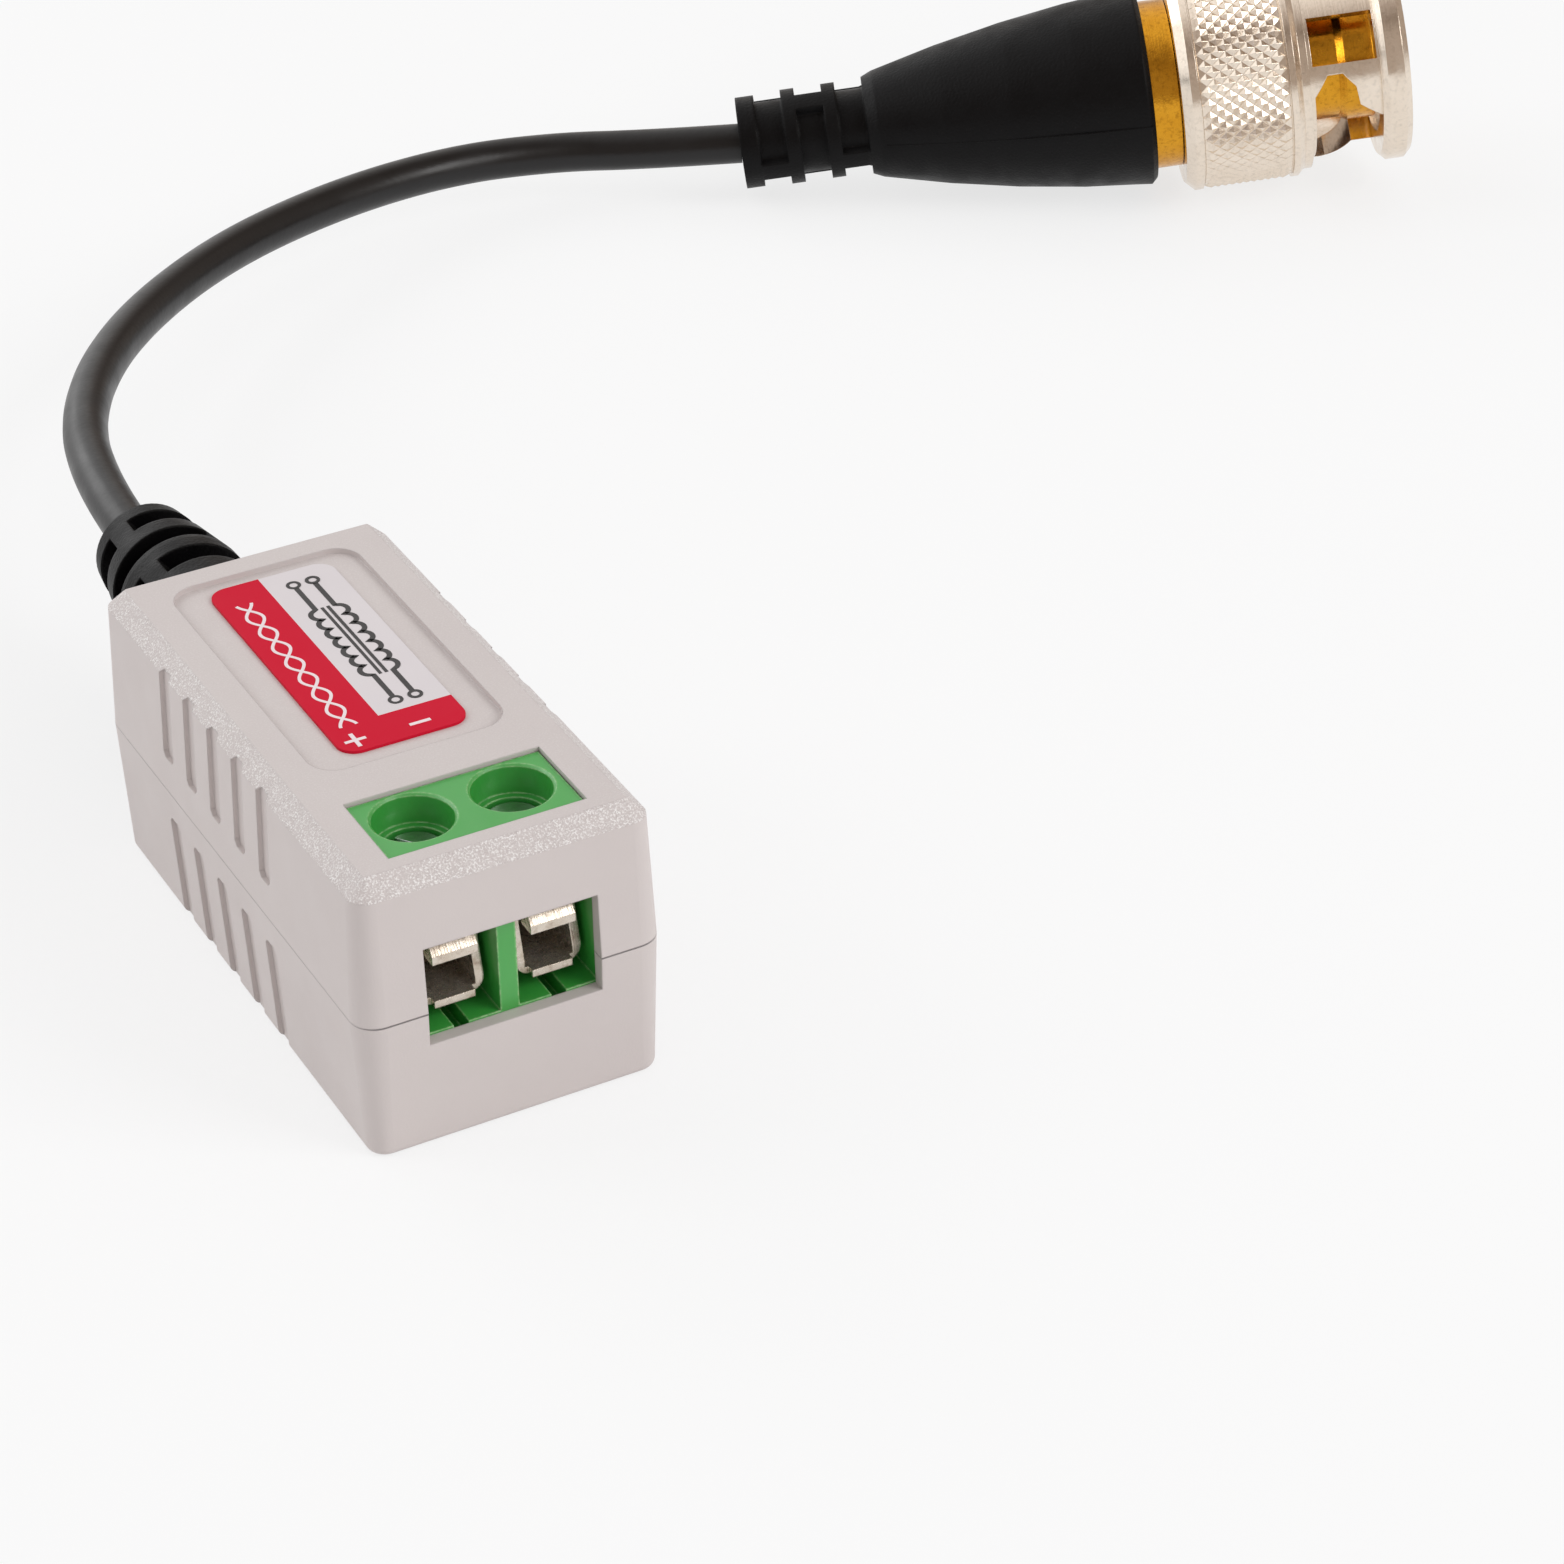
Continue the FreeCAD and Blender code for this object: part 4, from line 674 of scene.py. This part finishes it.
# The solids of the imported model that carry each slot
SOLIDS: dict[Slot, tuple[str, ...]] = {
    Slot.CASE: ("lower_shell", "upper_shell"),
    Slot.LABEL: ("label",),
    Slot.TERMINAL: ("terminal_housing",),
    Slot.STRIP: (
        "terminal_contact_left", "terminal_contact_right", "clamp_cage_left", "clamp_cage_right",
    ),
    Slot.SCREW: ("clamp_screw_left", "clamp_screw_right"),
    Slot.BOARD: ("circuit_board",),
    Slot.CORE: ("ferrite_core",),
    Slot.WINDING: ("winding_primary", "winding_secondary"),
    Slot.COMPONENT: ("surge_diode",),
    Slot.CERAMIC: ("chip_capacitor",),
    Slot.COPPER: ("cable_centre_wire", "cable_braid_tail"),
    Slot.MOULDING: ("case_strain_relief", "plug_boot"),
    Slot.JACKET: ("cable",),
    Slot.GOLD: ("plug_body", "centre_pin"),
    Slot.INSULATOR: ("plug_insulator",),
    Slot.NICKEL: ("coupling_nut",),
    Slot.SPRING: ("wave_spring", "thrust_washer", "retaining_ring"),
    Slot.GASKET: ("gasket",),
}


class Paintbox:
    """Makes each finish once and puts it on pieces."""

    def __init__(self) -> None:
        """Makes the materials of all the finishes."""
        self.materials = {slot: finish.build() for slot, finish in FINISHES.items()}

    def dress_solids(self, nodes: dict[str, Piece]) -> None:
        """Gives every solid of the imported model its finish.

        Args:
            nodes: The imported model's objects by name.
        """
        for slot, names in SOLIDS.items():
            for name in names:
                for place in nodes[name].material_slots:
                    place.material = self.materials[slot]
                LOG.info("dressed %s in %s", name, FINISHES[slot].name)

    def dress_piece(self, piece: Piece, slot: Slot) -> None:
        """Gives a new piece its finish.

        Args:
            piece: The piece.
            slot: The finish slot that it takes.
        """
        piece.data.materials.append(self.materials[slot])


def plug_point(along: float, radius: float, angle: float) -> Vector:
    """Places a point round the plug's axis.

    Args:
        along: Millimetres from the boot's cable end towards the mouth.
        radius: Millimetres from the axis.
        angle: Radians round the axis, from the side away from the camera towards the top.

    Returns:
        The point in metres.
    """
    outward = PLUG_SIDE * math.cos(angle) + PLUG_UP * math.sin(angle)
    return PLUG_START + (PLUG_WAY * along + outward * radius) * MM


def mesh_piece(name: str, points: list[Vector], faces: list[tuple[int, ...]]) -> Piece:
    """Makes an object from points and faces.

    Args:
        name: The piece's name.
        points: Corner points in metres.
        faces: Corner numbers of each face.

    Returns:
        The new object, in the scene.
    """
    mesh = bpy.data.meshes.new(name)
    mesh.from_pydata([tuple(point) for point in points], [], faces)
    work = bmesh.new()
    work.from_mesh(mesh)
    bmesh.ops.recalc_face_normals(work, faces=work.faces)
    work.to_mesh(mesh)
    work.free()
    piece = bpy.data.objects.new(name, mesh)
    bpy.context.scene.collection.objects.link(piece)
    return piece


def strip_faces(sections: int, first: int = 0, closed: bool = False) -> list[tuple[int, ...]]:
    """Joins sections of four corners into one strip, with two end faces unless it is a ring.

    Args:
        sections: Number of sections.
        first: Number of the strip's first corner.
        closed: True for a ring.

    Returns:
        Corner numbers of each face.
    """
    count = 4 * sections
    faces = []
    for step in range(sections if closed else sections - 1):
        for side in range(4):
            one, two = step * 4 + side, step * 4 + (side + 1) % 4
            faces.append((one, two, (two + 4) % count, (one + 4) % count))
    if not closed:
        faces += [(0, 1, 2, 3), tuple(range(count - 4, count))]
    return [tuple(first + corner for corner in face) for face in faces]


@dataclass(frozen=True)
class PhotoCamera:
    """The camera that stands where the photograph was taken.

    Attributes:
        place: Its place in metres.
        azimuth: Degrees round the upright axis from a view along the case.
        elevation: Degrees above the table.
        roll: Degrees that it leans.
        lens: Focal length in millimetres on a sensor 36 mm wide.
    """

    place: tuple[float, float, float] = (-0.06791, -0.17098, 0.12902)
    azimuth: float = -27.93
    elevation: float = 33.139
    roll: float = -1.005
    lens: float = 102.3

    def build(self) -> None:
        """Makes the camera and looks through it."""
        turn, tilt, lean = (math.radians(v) for v in (self.azimuth, self.elevation, self.roll))
        level = math.cos(tilt)
        back = Vector((math.sin(turn) * level, -math.cos(turn) * level, math.sin(tilt)))
        right = Vector((math.cos(turn), math.sin(turn), 0.0))
        up = back.cross(right)
        leaned_right = right * math.cos(lean) + up * math.sin(lean)
        leaned_up = up * math.cos(lean) - right * math.sin(lean)
        data = bpy.data.cameras.new("photo_camera")
        data.lens = self.lens
        data.sensor_width = 36.0
        data.clip_start = 0.01
        camera = bpy.data.objects.new("photo_camera", data)
        axes = Matrix((leaned_right, leaned_up, back)).transposed().to_4x4()
        camera.matrix_world = Matrix.Translation(self.place) @ axes
        bpy.context.scene.collection.objects.link(camera)
        bpy.context.scene.camera = camera


@dataclass(frozen=True)
class Lead:
    """The coaxial lead from the case's strain relief to the plug.

    Attributes:
        route: Control points in millimetres, chosen along the photographed curve.
        diameter: Outside diameter of the jacket in millimetres.
        length: Real length in millimetres, seen from end to end in the photograph. Not used.
        carried: The solids on the lead: its strain relief, its boot and the plug's own. Not used.
    """

    route: tuple[tuple[float, float, float], ...] = (
        (0.0, 31.5, 7.7),
        (0.2, 37.8, 7.7),
        (2.4, 47.2, 7.4),
        (8.4, 57.1, 6.6),
        (18.1, 66.4, 5.4),
        (28.4, 72.1, 4.4),
        (37.9, 74.4, 3.8),
        (45.2, 73.4, 3.5),
        (51.0, 70.5, 3.5),
    )
    diameter: float = 2.6
    length: float = 81.5
    carried: tuple[str, ...] = (
        "case_strain_relief", "plug_boot", "plug_body", "plug_insulator", "centre_pin",
        "coupling_nut", "wave_spring", "thrust_washer", "retaining_ring", "gasket",
    )

    def build(self) -> Piece:
        """Lays the lead's line as one smooth spline.

        Returns:
            The lead.
        """
        data = bpy.data.curves.new("lead_jacket", "CURVE")
        data.dimensions = "3D"
        data.bevel_depth = self.diameter / 2 * MM
        data.bevel_resolution = 10
        data.resolution_u = 24
        data.use_fill_caps = True
        points = [Vector(point) * MM for point in self.route] + [PLUG_START]
        spline = data.splines.new("NURBS")
        spline.points.add(len(points) - 1)
        for control, point in zip(spline.points, points):
            control.co = (*point, 1.0)
        spline.order_u = 3
        spline.use_endpoint_u = True
        lead = bpy.data.objects.new("lead_jacket", data)
        bpy.context.scene.collection.objects.link(lead)
        return lead

    def declare(self, lead: Piece) -> None:
        """Puts the lead on the case's body and hides the solid cable that it stands for.

        Args:
            lead: The lead.
        """
        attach(lead, "case")
        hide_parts("cable")


@dataclass(frozen=True)
class BootSeam:
    """The fine raised lines that the two halves of a mould leave along the boot.

    Attributes:
        profile: Place along the boot and its radius there, in millimetres.
        half_width: Half the line's width.
        height: How far the line stands up.
        sunk: How deep its foot lies in the boot.
    """

    profile: tuple[tuple[float, float], ...] = (
        (9.4, 3.55),
        (13.55, 4.52),
        (18.0, 5.4),
        (22.45, 6.13),
        (26.7, 6.44),
    )
    half_width: float = 0.11
    height: float = 0.06
    sunk: float = 0.15

    def build(self) -> list[Piece]:
        """Makes the two lines, one on each side of the boot.

        Returns:
            The two pieces.
        """
        return [self.line("boot_seam_far", 0.0), self.line("boot_seam_near", math.pi)]

    def line(self, name: str, angle: float) -> Piece:
        """Makes one line.

        Args:
            name: The piece's name.
            angle: Its place round the plug, in radians.

        Returns:
            The piece.
        """
        points = []
        for along, radius in self.profile:
            lean = self.half_width / radius
            points.append(plug_point(along, radius - self.sunk, angle - lean))
            points.append(plug_point(along, radius + self.height, angle - lean / 3))
            points.append(plug_point(along, radius + self.height, angle + lean / 3))
            points.append(plug_point(along, radius - self.sunk, angle + lean))
        piece = mesh_piece(name, points, strip_faces(len(self.profile)))
        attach(piece, "case")
        return piece


@dataclass(frozen=True)
class WaveSpring:
    """The sprung ring under the coupling nut's flange, which flattens as the nut slides.

    Attributes:
        start: Place of its end at the flange, along the plug, in millimetres.
        end: Place of its end at the washer.
        inner: Inner radius.
        outer: Outer radius.
        strip: Thickness of the strip.
        waves: Number of waves round the ring.
        travel: How far the nut slides. Not used.
        steps: Points round the ring.
    """

    start: float = 30.05
    end: float = 31.2
    inner: float = 5.0
    outer: float = 6.1
    strip: float = 0.25
    waves: int = 3
    travel: float = 0.8
    steps: int = 120

    def build(self) -> Piece:
        """Makes the wavy ring in place of the solid one.

        Returns:
            The ring.
        """
        swing = (self.end - self.start - self.strip) / 2
        points = []
        for step in range(self.steps):
            angle = 2 * math.pi * step / self.steps
            middle = (self.start + self.end) / 2 + swing * math.cos(self.waves * angle)
            low, high = middle - self.strip / 2, middle + self.strip / 2
            corners = ((low, self.inner), (low, self.outer), (high, self.outer), (high, self.inner))
            points += [plug_point(along, radius, angle) for along, radius in corners]
        ring = mesh_piece("sprung_ring", points, strip_faces(self.steps, closed=True))
        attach(ring, "spring_stack")
        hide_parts("wave_spring")
        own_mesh(ring)
        return ring


@dataclass(frozen=True)
class LabelPrint:
    """The generic marks printed on the label: pole signs, a transformer sign and a wire pair.

    Attributes:
        film_top: Height of the label's face in millimetres.
        ink_height: How far the ink stands above the film.
        layer: How much higher each further stroke lies, so that crossings stay clean.
        bold: Width of the coils' strokes.
        thin: Width of the strokes of the sign's core and rings and of the wire pair.
        middle: Place of the transformer sign's centre across the case.
        coil_offset: Distance from that centre to each coil.
        turn_radius: Radius of one turn of the sign's coils.
        turns: Turns that each coil shows.
        turn_bulge: Height of one turn against its radius.
        turn_steps: Straight pieces that draw one turn.
        coil_front: Where the coils start along the case.
        lead_front: Where the sign starts along the case.
        lead_rear: Where it ends.
        core_offset: Distance from the sign's centre to each line of its core.
        core_over: How far the core's lines pass the coils.
        ring_radius: Radius of the ring at each end of a coil's leads.
        ring_gap: Distance from a lead's end to the middle of its ring.
        ring_steps: Straight pieces that draw one ring.
        pair_middle: Place of the wire pair's middle across the case.
        pair_front: Where the wire pair starts along the case.
        pair_length: Length of the drawn wire pair.
        pair_swing: How far each wire swings to a side.
        pair_rate: Radians of twist in a millimetre.
        pair_steps: Straight pieces that draw one wire.
        pole_bold: Width of the pole signs' strokes against the thin ones.
        plus: Place of the plus sign's middle.
        plus_reach: Half the height of the plus sign.
        minus: Place of the minus sign's middle.
        pole_reach: Half the length of a level stroke of the pole signs.
    """

    film_top: float = 15.25
    ink_height: float = 0.012
    layer: float = 0.004
    bold: float = 0.27
    thin: float = 0.17
    middle: float = 1.5
    coil_offset: float = 0.52
    turn_radius: float = 0.5
    turns: int = 7
    turn_bulge: float = 0.9
    turn_steps: int = 12
    coil_front: float = 1.3
    lead_front: float = -1.0
    lead_rear: float = 10.8
    core_offset: float = 0.16
    core_over: float = 0.1
    ring_radius: float = 0.3
    ring_gap: float = 0.34
    ring_steps: int = 20
    pair_middle: float = -1.95
    pair_front: float = -2.4
    pair_length: float = 13.0
    pair_swing: float = 0.42
    pair_rate: float = 1.9
    pair_steps: int = 130
    pole_bold: float = 1.25
    plus: tuple[float, float] = (-2.2, -3.72)
    plus_reach: float = 0.62
    minus: tuple[float, float] = (1.16, -3.78)
    pole_reach: float = 0.55

    def ribbon(self, name: str, lines: list[Line], width: float, material: Material) -> Piece:
        """Makes flat strokes of ink along lines.

        Args:
            name: The piece's name.
            lines: The middle line of each stroke, in millimetres.
            width: The strokes' width.
            material: The ink.

        Returns:
            The piece, which stays on the case.
        """
        points, faces = [], []
        for order, line in enumerate(lines):
            first = len(points)
            top = self.film_top + self.ink_height + order * self.layer
            for number, (x, y) in enumerate(line):
                before = Vector(line[max(number - 1, 0)])
                after = Vector(line[min(number + 1, len(line) - 1)])
                way = (after - before).normalized()
                offset = Vector((-way.y, way.x)) * width / 2
                for side, height in ((1, top), (-1, top), (-1, self.film_top), (1, self.film_top)):
                    points.append(Vector((x + side * offset.x, y + side * offset.y, height)) * MM)
            faces += strip_faces(len(line), first)
        piece = mesh_piece(name, points, faces)
        piece.data.materials.append(material)
        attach(piece, "case")
        return piece

    def coil(self, side: int) -> Line:
        """Draws one coil of the transformer sign with its two leads.

        Args:
            side: One for the right-hand coil and minus one for the left-hand coil.

        Returns:
            The line's points in millimetres.
        """
        base = self.middle + side * self.coil_offset
        points = [(base, self.lead_front), (base, self.coil_front)]
        for turn in range(self.turns):
            centre = self.coil_front + (2 * turn + 1) * self.turn_radius
            for step in range(1, self.turn_steps + 1):
                angle = math.pi * step / self.turn_steps
                bulge = base + side * self.turn_radius * self.turn_bulge * math.sin(angle)
                points.append((bulge, centre - self.turn_radius * math.cos(angle)))
        points.append((base, self.lead_rear))
        return points

    def ring(self, x: float, y: float, radius: float) -> Line:
        """Draws a small closed ring at a lead's end."""
        angles = [2 * math.pi * step / self.ring_steps for step in range(self.ring_steps + 1)]
        return [(x + radius * math.cos(angle), y + radius * math.sin(angle)) for angle in angles]

    def sign_details(self) -> list[Line]:
        """Draws the transformer sign's thin strokes: the core's two lines and the leads' rings.

        Returns:
            The strokes' lines.
        """
        coil_rear = self.coil_front + 2 * self.turns * self.turn_radius
        lines = []
        for side in (-1, 1):
            core = self.middle + side * self.core_offset
            ends = (self.coil_front - self.core_over, coil_rear + self.core_over)
            lines.append([(core, place) for place in ends])
            for end, way in ((self.lead_front, -1), (self.lead_rear, 1)):
                across = self.middle + side * self.coil_offset
                lines.append(self.ring(across, end + way * self.ring_gap, self.ring_radius))
        return lines

    def wire_pair(self) -> list[Line]:
        """Draws the two wires that twist round each other.

        Returns:
            The wires' lines.
        """
        steps = range(self.pair_steps + 1)
        places = [self.pair_front + self.pair_length * step / self.pair_steps for step in steps]
        return [
            [
                (self.pair_middle + self.pair_swing * math.sin(self.pair_rate * y + phase), y)
                for y in places
            ]
            for phase in (0.0, math.pi)
        ]

    def pole_signs(self) -> list[Line]:
        """Draws the plus and minus signs of strokes that meet without an overlap.

        Returns:
            The strokes' lines.
        """
        level = [
            [(x - self.pole_reach, y), (x + self.pole_reach, y)] for x, y in (self.plus, self.minus)
        ]
        x, y = self.plus
        start = self.thin * self.pole_bold / 2
        upright = [
            [(x, y - self.plus_reach), (x, y - start)],
            [(x, y + start), (x, y + self.plus_reach)],
        ]
        return level[:1] + upright + level[1:]

    def build(self, black: Material, white: Material) -> list[Piece]:
        """Prints the label's marks.

        Args:
            black: Ink of the transformer sign.
            white: Ink of the marks on the red field.

        Returns:
            The printed pieces.
        """
        return [
            self.ribbon("label_transformer_sign", [self.coil(-1), self.coil(1)], self.bold, black),
            self.ribbon("label_sign_ends", self.sign_details(), self.thin, black),
            self.ribbon("label_wire_pair_sign", self.wire_pair(), self.thin, white),
            self.ribbon("label_pole_signs", self.pole_signs(), self.thin * self.pole_bold, white),
        ]


@dataclass(frozen=True)
class Studio:
    """The pale table and the soft light round the object.

    Attributes:
        paper: Colour of the table and backdrop, as the camera sees them.
        shadow_share: How much of the table's own light and shadow the camera sees.
        surface: The table's own colour, under the lamps.
        roughness: The table's roughness.
        sky: Strength of the even light from all round.
        bright_side: Direction of the tent's bright wall, behind the object and to the left.
        tent_light: Strength of the tent in what glossy faces mirror.
        bands: The tent's colour from its dim side, at zero, to its bright wall, at one.
        table_size: Side of the table in metres.
        lamps: Name, place in metres and power in watts of each lamp.
        lamp_size: Side of a lamp's square face in metres.
        aim: The place that the lamps look at.
    """

    paper: str = "#FDFDFD"
    shadow_share: float = 0.25
    surface: str = "#F4F3F3"
    roughness: float = 0.9
    sky: float = 0.62
    bright_side: tuple[float, float, float] = (-0.58, 0.7, 0.42)
    tent_light: float = 1.2
    bands: tuple[tuple[float, str], ...] = (
        (0.0, "#A69A90"),
        (0.15, "#7A6D63"),
        (0.35, "#B3A8A0"),
        (0.5, "#E9E4E0"),
        (0.7, "#FFFFFF"),
        (1.0, "#FFFFFF"),
    )
    table_size: float = 6.0
    lamps: tuple[tuple[str, tuple[float, float, float], float], ...] = (
        ("lamp_left", (-0.55, 0.35, 0.42), 0.95),
        ("lamp_right", (0.4, -0.45, 0.4), 2.0),
        ("lamp_behind", (-0.15, 0.6, 0.3), 0.6),
    )
    lamp_size: float = 0.35
    aim: tuple[float, float, float] = (0.03, 0.03, 0.01)

    def build_table(self) -> None:
        """Makes the table the object stands on."""
        half = self.table_size / 2
        corners = [Vector((x * half, y * half, 0)) for x, y in ((-1, -1), (1, -1), (1, 1), (-1, 1))]
        table = mesh_piece("studio_table", corners, [(0, 1, 2, 3)])
        material = bpy.data.materials.new("paper_matte_white")
        material.use_nodes = True
        tree = material.node_tree
        shader = tree.nodes["Principled BSDF"]
        shader.inputs["Base Color"].default_value = linear(self.surface)
        shader.inputs["Roughness"].default_value = self.roughness
        ray = add_node(tree, "LightPath").outputs
        clear = ray["Is Camera Ray"]
        for kind in ("Is Glossy Ray", "Is Transmission Ray"):
            clear = add_node(tree, "Math", {"operation": "MAXIMUM"}, {0: clear, 1: ray[kind]})
        settings = {"operation": "MULTIPLY", 1: 1 - self.shadow_share}
        share = add_node(tree, "Math", settings, {0: clear})
        light = add_node(tree, "Emission", {"Color": linear(self.paper), "Strength": 1.0})
        mixed = add_node(tree, "MixShader", links={0: share, 1: shader, 2: light})
        tree.links.new(mixed.outputs[0], tree.nodes["Material Output"].inputs["Surface"])
        table.data.materials.append(material)

    def build_sky(self) -> None:
        """Makes the even light, with the same pale background for the camera."""
        world = bpy.data.worlds.new("studio_sky")
        bpy.context.scene.world = world
        world.use_nodes = True
        tree = world.node_tree
        light = tree.nodes["Background"]
        light.inputs["Strength"].default_value = self.sky
        light.inputs["Color"].default_value = linear("#FFFFFF")
        seen = add_node(tree, "Background", {"Color": linear(self.paper), "Strength": 1.0})
        links = {"Color": self.tent(tree)}
        around = add_node(tree, "Background", {"Strength": self.tent_light}, links)
        ray = add_node(tree, "LightPath").outputs
        shown = light
        for kind, other in (("Is Glossy Ray", around), ("Is Camera Ray", seen)):
            shown = add_node(tree, "MixShader", links={0: ray[kind], 1: shown, 2: other})
        tree.links.new(shown.outputs[0], tree.nodes["World Output"].inputs["Surface"])

    def tent(self, tree: Tree) -> Socket:
        """Gives the light tent that glossy faces mirror: bright behind, dim in front.

        Args:
            tree: The world's node tree.

        Returns:
            The colour of the tent in each direction.
        """
        around = add_node(tree, "TexCoord").outputs["Generated"]
        settings = {"operation": "DOT_PRODUCT", 1: self.bright_side}
        towards = add_node(tree, "VectorMath", settings, {0: around})
        bands = add_node(tree, "ValToRGB", links={0: towards.outputs["Value"]})
        ramp = bands.color_ramp
        ramp.elements.remove(ramp.elements[1])
        for number, (position, colour) in enumerate(self.bands):
            element = ramp.elements.new(position) if number else ramp.elements[0]
            element.color = linear(colour)
        return bands.outputs[0]

    def build_lamp(self, name: str, place: tuple[float, float, float], power: float) -> None:
        """Makes one soft lamp that looks at the object.

        Args:
            name: The lamp's name.
            place: Its place in metres.
            power: Its power in watts.
        """
        data = bpy.data.lights.new(name, "AREA")
        data.shape = "SQUARE"
        data.size = self.lamp_size
        data.energy = power
        lamp = bpy.data.objects.new(name, data)
        lamp.location = place
        way = Vector(self.aim) - Vector(place)
        lamp.rotation_euler = way.to_track_quat("-Z", "Y").to_euler()
        bpy.context.scene.collection.objects.link(lamp)

    def build(self) -> None:
        """Makes the table, the sky and the lamps."""
        self.build_table()
        self.build_sky()
        for lamp in self.lamps:
            self.build_lamp(*lamp)


def build_inks() -> tuple[Material, Material]:
    """Makes the two inks of the label's marks.

    Returns:
        The black ink and the white ink.
    """
    # Screen ink: flat, dense and a little glossier than the film under it
    values = {"roughness": 0.4, "grain_mm": 0.3, "edge_mm": 0.01}
    black = Finish("ink_black_screen_printed", "#1C1A1B", "#262324", **values)
    white = Finish("ink_white_screen_printed", "#F3E6E8", "#EBD9DC", **values)
    return black.build(), white.build()


def main() -> None:
    """Builds the camera, the lead, the fine forms and the studio, and dresses the solids."""
    logging.basicConfig(level=logging.INFO, format="%(name)s: %(message)s")
    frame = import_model()
    bpy.context.scene.view_settings.view_transform = "Standard"
    PhotoCamera().build()
    LOG.info("placed the camera")
    plan = Lead()
    lead = plan.build()
    LOG.info("laid %s", lead.name)

    paints = Paintbox()
    paints.dress_solids(frame["nodes"])
    paints.dress_piece(lead, Slot.JACKET)
    seams = BootSeam().build()
    for seam in seams:
        paints.dress_piece(seam, Slot.MOULDING)
        LOG.info("added %s", seam.name)
    for mark in LabelPrint().build(*build_inks()):
        LOG.info("printed %s", mark.name)
    spring = WaveSpring().build()
    paints.dress_piece(spring, Slot.SPRING)
    LOG.info("coiled %s", spring.name)
    plan.declare(lead)
    Studio().build()
    LOG.info("lit the studio")


if __name__ == "__main__":
    main()
